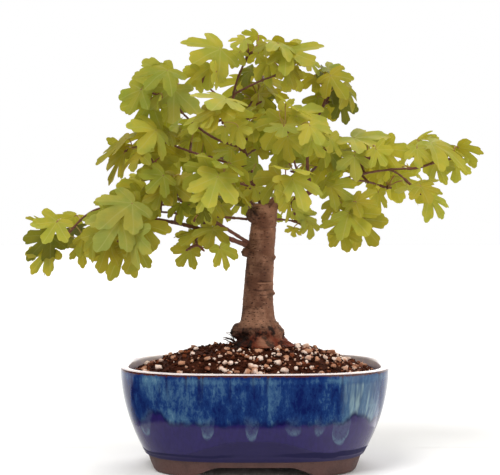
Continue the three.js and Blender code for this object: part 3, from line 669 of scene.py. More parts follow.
class Finish:
    """A material made of nodes, in short words."""

    def __init__(self, name):
        self.material = bpy.data.materials.new(name)
        self.material.use_nodes = True
        self.tree = self.material.node_tree
        self.tree.nodes.clear()
        self.place = self.add("ShaderNodeTexCoord").outputs["Object"]

    def add(self, kind, **settings):
        node = self.tree.nodes.new(kind)
        for name, value in settings.items():
            setattr(node, name, value)
        return node

    def feed(self, socket, value):
        if isinstance(value, bpy.types.NodeSocket):
            self.tree.links.new(value, socket)
        else:
            socket.default_value = value

    def stretched(self, scale, location=(0, 0, 0)):
        """The place with each axis stretched."""
        node = self.add("ShaderNodeMapping")
        self.feed(node.inputs["Vector"], self.place)
        node.inputs["Scale"].default_value = scale
        node.inputs["Location"].default_value = location
        return node.outputs["Vector"]

    def cloud(self, scale, detail=3.0, rough=0.55, vector=None, warp=0.0):
        """Soft noise from 0 to 1."""
        node = self.add("ShaderNodeTexNoise")
        self.feed(node.inputs["Vector"], vector or self.place)
        node.inputs["Scale"].default_value = scale
        node.inputs["Detail"].default_value = detail
        node.inputs["Roughness"].default_value = rough
        node.inputs["Distortion"].default_value = warp
        return node.outputs["Fac"]

    def cells(self, scale, vector=None):
        """Distance to the nearest of scattered spots."""
        node = self.add("ShaderNodeTexVoronoi")
        self.feed(node.inputs["Vector"], vector or self.place)
        node.inputs["Scale"].default_value = scale
        return node.outputs["Distance"]

    def maths(self, operation, a, b=0.0, clamp=False):
        node = self.add("ShaderNodeMath", operation=operation, use_clamp=clamp)
        self.feed(node.inputs[0], a)
        self.feed(node.inputs[1], b)
        return node.outputs[0]

    def plus(self, a, b):
        return self.maths("ADD", a, b)

    def minus(self, a, b, clamp=False):
        return self.maths("SUBTRACT", a, b, clamp)

    def times(self, a, b):
        return self.maths("MULTIPLY", a, b)

    def off(self, value, middle):
        """How far a value is off a middle one."""
        return self.maths("ABSOLUTE", self.minus(value, middle))

    def rise(self, value, low, high, bottom=0.0, top=1.0):
        """A smooth step from bottom to top as value goes from low to high."""
        node = self.add("ShaderNodeMapRange", interpolation_type="SMOOTHSTEP")
        self.feed(node.inputs["Value"], value)
        node.inputs["From Min"].default_value = low
        node.inputs["From Max"].default_value = high
        node.inputs["To Min"].default_value = bottom
        node.inputs["To Max"].default_value = top
        return node.outputs["Result"]

    def near(self, place, inner, outer):
        """1 close to a place in millimetres from the middle of the pot's base, 0 away from it."""
        node = self.add("ShaderNodeVectorMath", operation="DISTANCE")
        self.feed(node.inputs[0], self.place)
        node.inputs[1].default_value = np.array(place) * MM + POT_MIDDLE
        return self.rise(node.outputs["Value"], inner * MM, outer * MM, 1.0, 0.0)

    def axis(self, name, vector=None):
        node = self.add("ShaderNodeSeparateXYZ")
        self.feed(node.inputs[0], vector or self.place)
        return node.outputs[name]

    def blend(self, share, a, b):
        """Colour a passing into colour b."""
        node = self.add("ShaderNodeMix", data_type="RGBA")
        self.feed(node.inputs[0], share)
        self.feed(node.inputs[6], a)
        self.feed(node.inputs[7], b)
        return node.outputs[2]

    def ramp(self, value, *stops):
        """Colours along a value."""
        node = self.add("ShaderNodeValToRGB")
        self.feed(node.inputs[0], value)
        elements = node.color_ramp.elements
        while len(elements) < len(stops):
            elements.new(0.5)
        for element, (position, colour) in zip(elements, stops):
            element.position = position
            element.color = colour
        return node.outputs[0]

    def relief(self, height, strength, depth):
        node = self.add("ShaderNodeBump")
        node.inputs["Strength"].default_value = strength
        node.inputs["Distance"].default_value = depth
        self.feed(node.inputs["Height"], height)
        return node.outputs["Normal"]

    def surface(self, colour, rough, normal=None, through=None, through_share=0.0, **sockets):
        """Closes the material with a surface, which may let light through."""
        shader = self.add("ShaderNodeBsdfPrincipled")
        self.feed(shader.inputs["Base Color"], colour)
        self.feed(shader.inputs["Roughness"], rough)
        for name, value in sockets.items():
            self.feed(shader.inputs[name.replace("_", " ")], value)
        if normal:
            self.feed(shader.inputs["Normal"], normal)
        result = shader.outputs[0]
        if through:
            thin = self.add("ShaderNodeBsdfTranslucent")
            self.feed(thin.inputs["Color"], through)
            both = self.add("ShaderNodeMixShader")
            both.inputs[0].default_value = through_share
            self.tree.links.new(result, both.inputs[1])
            self.tree.links.new(thin.outputs[0], both.inputs[2])
            result = both.outputs[0]
        self.tree.links.new(result, self.add("ShaderNodeOutputMaterial").inputs[0])
        return self.material


def add_piece(name, mesh, nodes, materials):
    """Puts a mesh in the scene as a piece that stands for nodes of the frame."""
    mesh.name = name
    for material in materials:
        mesh.materials.append(material)
    mesh.polygons.foreach_set("use_smooth", [True] * len(mesh.polygons))
    piece = bpy.data.objects.new(name, mesh)
    bpy.context.scene.collection.objects.link(piece)
    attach(piece, "root")
    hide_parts(*nodes)
    return piece


def finished(bm, name):
    """A bmesh in millimetres from the middle of the pot's base as a mesh in the frame."""
    for vert in bm.verts:
        vert.co = vert.co * MM + Vector(POT_MIDDLE)
    mesh = bpy.data.meshes.new(name)
    bm.to_mesh(mesh)
    bm.free()
    return mesh


class Heap:
    """Many small forms gathered into one mesh, in millimetres."""

    def __init__(self):
        self.verts, self.faces, self.marks, self.count = [], [], [], 0

    def add(self, verts, faces, marks=None):
        self.verts.append(verts)
        self.faces += [[corner + self.count for corner in face] for face in faces]
        self.marks += marks or []
        self.count += len(verts)

    def mesh(self, name):
        mesh = bpy.data.meshes.new(name)
        places = np.vstack(self.verts) * MM + POT_MIDDLE
        mesh.from_pydata(places.tolist(), [], self.faces)
        if self.marks:
            layer = mesh.uv_layers.new(name="blade")
            layer.data.foreach_set("uv", np.array(self.marks, np.float32).ravel())
        mesh.validate()
        return mesh


def rod(line, radius, sides, steps):
    """A thin rod along a line, closed at both ends."""
    shares = np.linspace(0, 1, steps + 1)
    heading = line.heading(shares)
    guide = np.eye(3)[np.argmin(np.abs(heading).sum(0))]
    across = unit(np.cross(heading, guide))
    other = np.cross(heading, across)
    turns = np.linspace(0, 2 * math.pi, sides, endpoint=False)[None, :, None]
    rings = np.cos(turns) * across[:, None] + np.sin(turns) * other[:, None]
    radii = np.array([radius(s) for s in shares])[:, None, None]
    verts = (line.at(shares)[:, None] + rings * radii).reshape(-1, 3)
    faces = [list(range(sides))[::-1], list(range(steps * sides, (steps + 1) * sides))]
    for i in range(steps):
        for k in range(sides):
            n = (k + 1) % sides
            faces.append([i * sides + k, i * sides + n, (i + 1) * sides + n, (i + 1) * sides + k])
    return verts, faces


def rolled_limb(bm, line, radius, sides, rings, relief):
    """Rolls a sheet round a limb's middle line, with the bark's relief on it, and closes its ends."""
    guide = np.eye(3)[np.argmin(np.abs(line.heading(np.linspace(0, 1, 9))).sum(0))]
    sheet = bmesh.ops.create_grid(bm, x_segments=sides, y_segments=rings, size=1)["verts"]
    for vert in sheet:
        turn = math.pi * (vert.co.x + 1)
        along = min(max((vert.co.y + 1) / 2, 0), 1)
        heading = line.heading(along)
        across = unit(heading * (guide @ heading) - guide)
        out = across * math.cos(turn) + np.cross(across, heading) * math.sin(turn)
        place = Vector(line.at(along) + out * radius(along, turn))
        vert.co = place + Vector(out) * relief(along, turn, place)
    bmesh.ops.remove_doubles(bm, verts=sheet, dist=1e-4)
    ends = [edge for edge in bm.edges if edge.is_boundary]
    bmesh.ops.holes_fill(bm, edges=ends, sides=0)


def oblong(x, y, pot):
    """A round plan carried to the pot's oblong plan with rounded corners."""
    turn = math.atan2(y, x)
    across = abs(math.cos(turn)) ** 3
    deep = abs(math.sin(turn) * pot.length / pot.depth) ** 3
    stretch = (across + deep) ** (-1 / 3)
    return x * stretch, y * stretch


def bowl_radius(height, pot):
    """Half the bowl's outside length at a height, in millimetres."""
    climb = (height * MM - pot.foot_height) / (pot.height - pot.foot_height)
    return (pot.length - (pot.length - pot.base_length) * (1 - climb) ** 2) / 2 / MM


def spun(profile, steps):
    """A form turned about the upright axis from its profile of radius and height."""
    bm = bmesh.new()
    verts = [bm.verts.new((radius, 0, height)) for radius, height in profile]
    edges = [bm.edges.new(pair) for pair in zip(verts, verts[1:])]
    circle = {"cent": (0, 0, 0), "axis": (0, 0, 1), "angle": 2 * math.pi}
    bmesh.ops.spin(bm, geom=verts + edges, steps=steps, use_merge=True, **circle)
    bmesh.ops.remove_doubles(bm, verts=bm.verts, dist=1e-4)
    bmesh.ops.recalc_face_normals(bm, faces=bm.faces)
    return bm


def to_oblong(bm, pot):
    for vert in bm.verts:
        vert.co.x, vert.co.y = oblong(vert.co.x, vert.co.y, pot)


# Where the upper glaze ends higher on the long walls: place along the wall, half-width and lift.
# These and the places in the finishes are in metres.
DRIP_RISES = ((-0.0705, 0.011, 0.0075), (0.0725, 0.010, 0.0050))
# Drips on the long walls: place along the wall, length and half-width
DRIPS = (
    (-0.0785, 0.0090, 0.0052),
    (-0.0332, 0.0096, 0.0048),
    (-0.0027, 0.0104, 0.0052),
    (0.0270, 0.0066, 0.0058),
    (0.0455, 0.0070, 0.0046),
    (0.0610, 0.0145, 0.0062),
)


def drip_tongues(finish, pot):
    """How far the upper glaze hangs down: round tongues on the long walls, and a few on the short ones."""
    inward = finish.maths("ABSOLUTE", finish.axis("Y"))
    chance_drips = finish.cloud(1, 0, 0.5, finish.stretched((0, 64, 0), (0.35, 0.2, 0.0)))
    tongue = finish.rise(chance_drips, 0.5, 0.7, 0.0, pot.drip_length)
    tongue = finish.times(tongue, finish.rise(inward, 0.03, 0.045, 1.0, 0.0))
    sway = finish.cloud(1, 1, 0.5, finish.stretched((40, 40, 90)))
    swayed = finish.plus(finish.axis("X"), finish.rise(sway, 0.2, 0.8, -0.0016, 0.0016))
    for place, length, half in DRIPS:
        across = finish.maths("DIVIDE", finish.minus(swayed, place), half)
        bulge = finish.minus(1.0, finish.times(across, across), clamp=True)
        tongue = finish.maths("MAXIMUM", tongue, finish.times(finish.maths("SQRT", bulge), length))
    return tongue


def drip_ends(finish, pot, mottle, above):
    """Where the pale ends of the drips show."""
    tongue = drip_tongues(finish, pot)
    over = finish.plus(finish.axis("Z"), finish.minus(tongue, pot.drip_height))
    ends = finish.times(finish.rise(over, -0.0015, 0.0013), finish.rise(over, 0.0008, 0.0055, 1.0, 0.3))
    ends = finish.times(ends, finish.rise(tongue, 0.002, 0.0085, 0.0, 0.6))
    ends = finish.times(ends, finish.rise(mottle, 0.32, 0.6, 0.25, 1.0))
    return finish.times(ends, finish.rise(above, 0.002, 0.009, 1.0, 0.0))


def height_over_edge(finish, pot):
    """How high a place is over the uneven edge where the upper glaze ends."""
    edge = finish.cloud(1, 2, 0.6, finish.stretched((110, 110, 0)))
    edge = finish.rise(edge, 0.2, 0.8, -0.002, 0.002)
    for place, span, lift in DRIP_RISES:
        away = finish.off(finish.axis("X"), place)
        edge = finish.plus(edge, finish.rise(away, 0.15 * span, span, lift, 0.0))
    return finish.minus(finish.axis("Z"), finish.plus(edge, pot.drip_height))


def running_glaze(finish, pot, runs, mottle, broad, fall):
    """The upper glaze: mottled blue runs, dark falls from the rim, pale streaks at the right, and painted
    light towards the right.
    """
    deep, middle, teal, pale = (linear(c) for c in (pot.deep, pot.middle, pot.teal, pot.pale))
    height, side = finish.axis("Z"), finish.axis("X")
    tone = finish.plus(finish.times(runs, 0.4), finish.times(mottle, 0.3))
    lighter = (
        finish.times(broad, 0.4),
        finish.rise(finish.off(side, -0.055), 0.01, 0.034, 0.05, 0.0),
        finish.rise(height, 0.036, 0.05, 0.035, 0.0),
        finish.rise(finish.off(height, 0.0705), 0.0005, 0.003, 0.05, 0.0),
        # Painted light: the glaze a little lighter towards the right.
        finish.rise(side, 0.015, 0.05, 0.0, 0.022),
    )
    for share in lighter:
        tone = finish.plus(tone, share)
    upper = finish.ramp(tone, (0.47, deep), (0.57, middle), (0.69, teal), (0.9, pale))
    upper = finish.blend(fall, upper, linear(pot.navy))
    right = finish.off(side, 0.0755)
    upper = finish.blend(finish.rise(right, 0.006, 0.018, 0.4, 0.0), upper, teal)
    streaks = finish.cloud(1, 2, 0.5, finish.stretched((300, 300, 9), (0.7, 0.0, 0.0)))
    streaks = finish.rise(streaks, 0.4, 0.68, 0.1, 0.6)
    streaks = finish.times(streaks, finish.rise(right, 0.004, 0.0165, 1.0, 0.0))
    streaks = finish.times(streaks, finish.rise(height, 0.0665, 0.0695, 1.0, 0.15))
    return finish.blend(streaks, upper, pale)


def smooth_glaze(finish, pot, reflected_shadow_hill):
    """The lower glaze: smooth violet, dusky in patches and over the hill at its foot, where the dusk is a
    painted reflection of the shadow under the pot, with painted light towards the right.
    """
    violet = linear(pot.violet)
    dusk = shaded(violet, 0.55)
    shade = finish.cloud(1, 3, 0.6, finish.stretched((420, 420, 26)))
    lower = finish.blend(finish.rise(shade, 0.3, 0.7, 0.0, 0.5), violet, dusk)
    # Painted reflection of the shadow under the pot, dusky over the hill.
    lower = finish.blend(reflected_shadow_hill, lower, dusk)
    # Painted light: a little lilac towards the right.
    return finish.blend(finish.rise(finish.axis("X"), 0.02, 0.08, 0.0, 0.04), lower, linear(pot.lilac))


def foot_pool(finish, broad):
    """Where the glaze has pooled by the foot, less so in the middle of the long walls."""
    side = finish.axis("X")
    level = finish.minus(finish.axis("Z"), 0.0162)
    level = finish.plus(level, finish.rise(broad, 0.3, 0.7, -0.0009, 0.0009))
    level = finish.minus(finish.maths("ABSOLUTE", level), finish.rise(side, 0.015, 0.045, 0.0, 0.0011))
    share = finish.rise(finish.maths("ABSOLUTE", side), 0.004, 0.026, 0.25, 1.0)
    return finish.times(finish.rise(level, 0.0006, 0.0014, 1.0, 0.0), share)


def glaze_finish(pot):
    """Blue glaze that runs down in mottled streaks and drips over a smooth violet one."""
    finish = Finish("glaze")
    navy = linear(pot.navy)
    height = finish.axis("Z")
    runs = finish.cloud(1, 5, 0.65, finish.stretched((140, 140, 27)), 0.5)
    mottle = finish.cloud(1, 4, 0.75, finish.stretched((440, 440, 250)), 0.5)
    broad = finish.cloud(1, 3, 0.55, finish.stretched((34, 34, 26), (4.3, 1.7, 0.0)))
    fall = finish.cloud(1, 2, 0.5, finish.stretched((190, 190, 7), (2.1, 0.4, 0.0)))
    fall = finish.times(finish.rise(fall, 0.55, 0.72, 0.0, 0.7), finish.rise(height, 0.046, 0.07))
    # The hill: painted reflection of the shadow under the pot, low in the middle of the wall; it is also
    # rougher.
    reflected_shadow_hill = finish.rise(finish.maths("ABSOLUTE", finish.axis("X")), 0.01, 0.062, 0.012, 0.0)
    reflected_shadow_hill = finish.rise(finish.minus(height, reflected_shadow_hill), 0.0145, 0.0165, 0.7, 0.0)
    above = height_over_edge(finish, pot)
    thick = finish.rise(above, 0.0008, 0.0052, 0.95, 0.0)
    thick = finish.times(thick, finish.rise(broad, 0.35, 0.55, 0.45, 1.0))
    upper = finish.blend(thick, running_glaze(finish, pot, runs, mottle, broad, fall), navy)
    colour = finish.blend(finish.rise(above, -0.001, 0.0014), smooth_glaze(finish, pot, reflected_shadow_hill), upper)
    ends = drip_ends(finish, pot, mottle, above)
    colour = finish.blend(ends, colour, finish.blend(0.25, linear(pot.teal), linear(pot.pale)))
    pool = foot_pool(finish, broad)
    colour = finish.blend(pool, colour, navy)
    worn = finish.plus(height, finish.rise(mottle, 0.3, 0.7, -0.0006, 0.0006))
    worn = finish.plus(worn, finish.rise(fall, 0.3, 0.8, 0.0, 0.0016))
    colour = finish.blend(finish.rise(worn, 0.0733, 0.0743), colour, linear(pot.rust))
    bump = finish.relief(finish.plus(mottle, finish.times(runs, 2.0)), 0.1, 0.0005)
    dull = finish.rise(height, 0.0135, 0.015, 1.0, 0.0)
    dull = finish.maths("MAXIMUM", finish.times(reflected_shadow_hill, 0.7), dull)
    dull = finish.rise(finish.maths("MAXIMUM", pool, dull), 0.0, 1.0, 0.0, 0.6)
    rough = finish.plus(finish.rise(mottle, 0.3, 0.7, 0.06, 0.12), dull)
    return finish.surface(colour, rough, bump, IOR=1.42, Specular_IOR_Level=0.4)


def rim_finish(pot):
    """Cream glaze with lilac patches, and lilac flecks below."""
    finish = Finish("rim_glaze")
    patch = finish.cloud(140, 4, 0.6)
    colour = finish.blend(finish.rise(patch, 0.45, 0.7, 0.0, 0.6), linear(pot.cream), linear(pot.lilac))
    fleck = finish.cloud(520, 3, 0.6)
    dull = finish.rise(finish.axis("Z"), 0.0715, 0.0745, 0.75, 0.0)
    colour = finish.blend(finish.times(dull, finish.rise(fleck, 0.35, 0.6)), colour, linear(pot.lilac))
    return finish.surface(colour, 0.16, finish.relief(patch, 0.15, 0.0006), IOR=1.5)


def inner_finish(pot):
    """Grey glaze inside the wall, darker towards the soil: a soil stain that is also painted shade low in the
    pot.
    """
    finish = Finish("inner_glaze")
    stain = finish.cloud(90, 4, 0.65)
    lilac = linear(pot.lilac)
    colour = finish.blend(finish.rise(stain, 0.35, 0.7, 0.0, 0.4), lilac, linear(pot.violet))
    # Rust-brown near the soil: soil stain and painted shade down in the pot.
    low = finish.rise(finish.axis("Z"), 0.068, 0.0705, 0.8, 0.0)
    colour = finish.blend(finish.times(low, finish.rise(stain, 0.3, 0.6)), colour, linear(pot.rust))
    return finish.surface(colour, 0.3, finish.relief(stain, 0.2, 0.0005), IOR=1.5)


def clay_finish(pot):
    """Bare clay, sandy and a little scorched."""
    finish = Finish("bare_clay")
    sand = finish.cloud(900, 4, 0.7)
    scorch = finish.cloud(70, 3, 0.6)
    clay = linear(pot.clay)
    dark = shaded(clay, 0.42)
    colour = finish.blend(finish.rise(scorch, 0.4, 0.7, 0.0, 0.55), clay, dark)
    colour = finish.blend(finish.rise(sand, 0.55, 0.75, 0.0, 0.5), colour, dark)
    return finish.surface(colour, finish.rise(sand, 0.3, 0.7, 0.55, 0.8), finish.relief(sand, 0.4, 0.0004))


# The bowl, in millimetres: the drop and the inset of its underside, the height of its floor inside, the
# turns of the rim's outer and inner rounding in degrees, the steps round it, and the places of its glazes
UNDERSIDE = (0.6, 1.2)
BOWL_FLOOR = 20
OUTER_ROUNDING = range(18, 91, 18)
INNER_ROUNDING = range(90, 163, 18)
POT_STEPS = 224
RIM_GLAZE, INNER_GLAZE = 1, 2


def bowl_mesh(pot):
    """The glazed bowl with its rounded rim."""
    drop, inset = UNDERSIDE
    high, lip, wall = pot.height / MM, pot.lip / MM, pot.wall / MM
    foot, outer = pot.foot_height / MM, pot.length / MM / 2
    profile = [(0, foot - drop), (bowl_radius(foot, pot) - inset, foot - drop)]
    profile += [(bowl_radius(z, pot), z) for z in np.linspace(foot + 0.5, high - lip, 30)]
    for middle, turns in ((outer - lip, OUTER_ROUNDING), (outer - wall + lip, INNER_ROUNDING)):
        for turn in map(math.radians, turns):
            profile.append((middle + lip * math.cos(turn), high - lip + lip * math.sin(turn)))
    profile += [(bowl_radius(z, pot) - wall, z) for z in np.linspace(high - lip, BOWL_FLOOR + 1, 14)]
    profile.append((0, BOWL_FLOOR))
    bm = spun(profile, POT_STEPS)
    for face in bm.faces:
        middle = face.calc_center_median()
        inside = math.hypot(middle.x, middle.y) < bowl_radius(middle.z, pot) - wall / 2
        if middle.z > high - 0.35 * lip or (inside and middle.z > high - 3 * lip):
            face.material_index = RIM_GLAZE
        elif inside and middle.z > foot:
            face.material_index = INNER_GLAZE
    to_oblong(bm, pot)
    return finished(bm, "pot_bowl")


# Bare clay under the glaze, in millimetres: the profile of its wall, the widths of its arches at the
# ground and at their tops, the level of its base, and the drain holes in it
CLAY_WALL = (
    (66, 8), (66.4, 6.4), (66.8, 4.6), (67, 2.8), (67.2, 1), (67.9, 0.2), (68.8, 0), (72, 0),
    (74.9, 0), (75.8, 0.3), (76.3, 1.2), (76.9, 3), (77.5, 5), (78.1, 7), (78.8, 9), (79.6, 11),
)
LONG_ARCH = (98, 48)
SHORT_ARCH = (62, 28)
BASE_LEVEL = 8
DRAIN_PLACES = (-42, 42)
DRAIN_RADIUS = 7
DRAIN_DEPTH = 3.2


def arch(offset, wide, narrow, pot):
    """Height of an arch between two feet at an offset from its middle, in millimetres."""
    share = (wide / 2 - abs(offset)) / (wide / 2 - narrow / 2)
    return pot.arch_height / MM * ease(share, 0, 1)


def feet_mesh(pot):
    """Bare clay under the glaze: bracket feet with arches between them, and two drain holes."""
    foot = pot.foot_height / MM
    bm = spun([*CLAY_WALL, (80.4, foot - 0.3), (70, foot - 0.3)], 256)
    to_oblong(bm, pot)
    for vert in bm.verts:
        lift = max(arch(vert.co.x, *LONG_ARCH, pot), arch(vert.co.y, *SHORT_ARCH, pot))
        if vert.co.z < BASE_LEVEL:
            vert.co.z = max(vert.co.z, lift)
    bmesh.ops.dissolve_degenerate(bm, edges=bm.edges, dist=1e-3)
    rim = [e for e in bm.edges if e.is_boundary and e.verts[0].co.z < BASE_LEVEL + 1]
    holes = []
    for side in DRAIN_PLACES:
        ring = bmesh.ops.create_circle(bm, segments=32, radius=DRAIN_RADIUS)["verts"]
        bmesh.ops.translate(bm, verts=ring, vec=(side, 0, BASE_LEVEL))
        holes.append([e for e in bm.edges if e.verts[0] in ring and e.verts[1] in ring])
    bmesh.ops.triangle_fill(bm, use_beauty=True, use_dissolve=False, edges=rim + holes[0] + holes[1])
    for hole in holes:
        grown = bmesh.ops.extrude_edge_only(bm, edges=hole)["geom"]
        ring = [g for g in grown if isinstance(g, bmesh.types.BMVert)]
        bmesh.ops.translate(bm, verts=ring, vec=(0, 0, DRAIN_DEPTH))
        loop = [g for g in grown if isinstance(g, bmesh.types.BMEdge) and g.is_boundary]
        for face in bmesh.ops.contextual_create(bm, geom=loop)["faces"]:
            face.material_index = 1
    open_top = [e for e in bm.edges if e.is_boundary]
    bmesh.ops.holes_fill(bm, edges=open_top, sides=0)
    bmesh.ops.recalc_face_normals(bm, faces=bm.faces)
    return finished(bm, "pot_feet")


class BONSAI_OT_pot(bpy.types.Operator):
    """Throws the glazed bowl and the bare clay feet under it."""

    bl_idname = "bonsai.pot"
    bl_label = "Pot"

    def execute(self, context):
        pot = context.scene.bonsai_pot
        glazes = [glaze_finish(pot), rim_finish(pot), inner_finish(pot)]
        add_piece("pot_bowl", bowl_mesh(pot), ["pot"], glazes)
        earth = earth_finish(context.scene.bonsai_soil)
        feet = add_piece("pot_feet", feet_mesh(pot), ["pot"], [clay_finish(pot), earth])
        feet.data.set_sharp_from_angle(angle=math.radians(40))
        return {"FINISHED"}


def earth_finish(soil):
    """Dark damp earth."""
    finish = Finish("earth")
    grain = finish.cloud(620, 5, 0.7)
    damp = finish.cloud(110, 3, 0.6)
    earth = linear(soil.earth)
    dark = shaded(earth, 0.4)
    colour = finish.blend(finish.rise(damp, 0.35, 0.65), earth, dark)
    colour = finish.blend(finish.rise(grain, 0.6, 0.75, 0.0, 0.4), colour, linear(soil.chip))
    return finish.surface(colour, 0.95, finish.relief(grain, 0.8, 0.0012), Specular_IOR_Level=0.08)


def stone_finish(name, main, other, soil):
    """Porous pebbles, each a little lighter or browner than the next."""
    finish = Finish(name)
    tone = finish.cloud(95, 1, 0.5)
    pores = finish.cloud(1500, 3, 0.7)
    colour = finish.blend(finish.rise(tone, 0.4, 0.62), linear(main), linear(other))
    colour = finish.blend(finish.rise(pores, 0.56, 0.72, 0.0, 0.6), colour, linear(soil.earth))
    return finish.surface(colour, 0.88, finish.relief(pores, 0.6, 0.0005))


def chip_finish(soil):
    """Chips of bark with a stringy grain."""
    finish = Finish("bark_chips")
    tone = finish.cloud(120, 2, 0.6)
    grain = finish.cloud(1, 3, 0.6, finish.stretched((1800, 420, 420)))
    chip = linear(soil.chip)
    dark = shaded(chip, 0.28)
    colour = finish.blend(finish.rise(tone, 0.38, 0.62), chip, dark)
    colour = finish.blend(finish.rise(grain, 0.5, 0.7, 0.0, 0.5), colour, dark)
    return finish.surface(colour, 0.9, finish.relief(grain, 0.5, 0.0004), Specular_IOR_Level=0.15)


# Soil, in millimetres: its gap to the wall, the heights of its side and its base inside the pot, and
# how far it sinks for the grains on it
SOIL_GAP = 0.4
SOIL_SIDE = 66
SOIL_BASE = 60
SOIL_SINK = 1.7


def soil_radius(soil, pot, gap):
    """Radius of the round plan at the soil's edge, less a gap to the wall, in millimetres."""
    return bowl_radius(soil.edge_height / MM, pot) - pot.wall / MM - gap


def mound_height(radius, soil, pot):
    """Height of the soil at a radius of the round plan, in millimetres."""
    edge = soil_radius(soil, pot, SOIL_GAP)
    seat = soil.seat_radius / MM
    climb = math.sin(min(max((edge - radius) / (edge - seat), 0), 1) * math.pi / 2) ** 1.3
    return (soil.edge_height + (soil.top_height - soil.edge_height) * climb) / MM


def mound_mesh(soil, pot):
    """The mound of earth, uneven on top."""
    edge = soil_radius(soil, pot, SOIL_GAP)
    radii = np.linspace(0, edge, 46)
    profile = [(radius, mound_height(radius, soil, pot)) for radius in radii]
    profile += [(edge, SOIL_SIDE), (edge - 4, SOIL_BASE), (0, SOIL_BASE)]
    bm = spun(profile, 150)
    to_oblong(bm, pot)
    for vert in bm.verts:
        if vert.co.z > SOIL_SIDE + 1:
            away = math.hypot(vert.co.x, vert.co.y * pot.length / pot.depth)
            fade = 0.25 + 0.75 * ease(away, 18, 34)
            rough = noise.noise(vert.co * 0.16) * 0.9 + noise.noise(vert.co * 0.42) * 0.7
            vert.co.z += rough * fade - SOIL_SINK
    return finished(bm, "soil_mound")


def lump(kind, roundness, unevenness):
    """A small lump from a cube cut once each way: its vertices and faces."""
    bm = bmesh.new()
    bmesh.ops.create_cube(bm, size=2)
    bmesh.ops.subdivide_edges(bm, edges=bm.edges, cuts=1, use_grid_fill=True)
    for vert in bm.verts:
        ball = vert.co.normalized() * 1.12
        vert.co = vert.co.lerp(ball, roundness)
        vert.co *= 1 + unevenness * noise.noise(vert.co * 0.9 + Vector((kind * 7.3, 2.1, kind * 3.7)))
    bm.verts.index_update()
    verts = np.array([vert.co[:] for vert in bm.verts])
    faces = [[vert.index for vert in face.verts] for face in bm.faces]
    bm.free()
    return verts, faces


def turned(key):
    """A repeatable rotation for a key."""
    a, b, c = (2 * math.pi * chance(key + k) for k in (0.1, 0.2, 0.3))
    ca, sa, cb, sb, cc, sc = math.cos(a), math.sin(a), math.cos(b), math.sin(b), math.cos(c), math.sin(c)
    about_z = np.array(((ca, -sa, 0), (sa, ca, 0), (0, 0, 1)))
    about_x = np.array(((1, 0, 0), (0, cb, -sb), (0, sb, cb)))
    return about_z @ about_x @ np.array(((cc, -sc, 0), (sc, cc, 0), (0, 0, 1)))


# The source's larger stones: half-widths, form, lift of the middle and field, in millimetres, and the
# size of a lump that fills one
STONE_COUNT = 68
STONE_RADII = (2.5, 4)
STONE_FORM = np.array((1, 0.82, 0.66))
STONE_FILL = 0.72
STONE_LIFT = 0.12
STONE_FIELD = (39, 87)


def add_stones(heaps, lumps, soil, pot):
    """Deals the source's larger stones out to heaps."""
    near, far = STONE_FIELD
    for i in range(STONE_COUNT):
        radius = math.sqrt(near**2 + (far**2 - near**2) * (i + chance(i + 0.3)) / STONE_COUNT)
        turn = GOLDEN_TURN * i
        x, y = oblong(radius * math.cos(turn), radius * math.sin(turn), pot)
        wide = between(STONE_RADII, chance(i + 0.7) ** 2)
        tip, spin = chance(i + 0.1) - 0.5, 2 * math.pi * chance(i + 0.9)
        rotation = np.array(Matrix.Rotation(spin, 3, "Z") @ Matrix.Rotation(tip, 3, "X"))
        verts, faces = lumps[i % len(lumps)]
        high = mound_height(radius, soil, pot) + STONE_LIFT * wide
        stone = (verts * STONE_FORM * STONE_FILL * wide) @ rotation.T
        heaps[i % len(heaps)].add(stone + (x, y, high), faces)


# Strewn grains, in millimetres: their gap to the wall, the bare ring round the trunk and its shift to
# the right, and how deep they sit
GRAIN_GAP = 2.2
BARE_RING = 21
BARE_SHIFT = 3
GRAIN_SINK = 0.9


class Grains(NamedTuple):
    """One kind of grain: its piece, number, forms and sizes, and its share at the left and behind."""

    name: str
    count: int
    seed: float
    lumps: list
    size: tuple
    flat: tuple
    lift: float
    behind: float
    finish: bpy.types.Material


def strewn(grains, soil, pot):
    """Grains strewn over the mound and gathered into one heap."""
    heap = Heap()
    reach = soil_radius(soil, pot, GRAIN_GAP)
    for i in range(grains.count):
        key = grains.seed + i * 5.17
        radius = math.sqrt(chance(key)) * reach
        turn = 2 * math.pi * chance(key + 1)
        x, y = oblong(radius * math.cos(turn), radius * math.sin(turn), pot)
        kept = grains.behind + (1 - grains.behind) * ease(x - 1.6 * y, -4, 64)
        if grains.behind < 1:
            patch = noise.noise(Vector((x, y, grains.seed)) * 0.075)
            kept *= 0.3 + 0.9 * ease(patch, -0.25, 0.3)
        bare = math.hypot(x - TRUNK_FOOT[0] - BARE_SHIFT, y) < BARE_RING
        if bare or chance(key + 7) > kept:
            continue
        wide = between(grains.size, chance(key + 2) ** 3)
        high = mound_height(radius, soil, pot) + wide * grains.lift - GRAIN_SINK
        verts, faces = grains.lumps[i % len(grains.lumps)]
        form = (1, 0.7 + 0.3 * chance(key + 3), between(grains.flat, chance(key + 4)))
        scale = np.array(form) * wide / 2
        heap.add((verts * scale) @ turned(key + 5).T + (x, y, high), faces)
    return heap


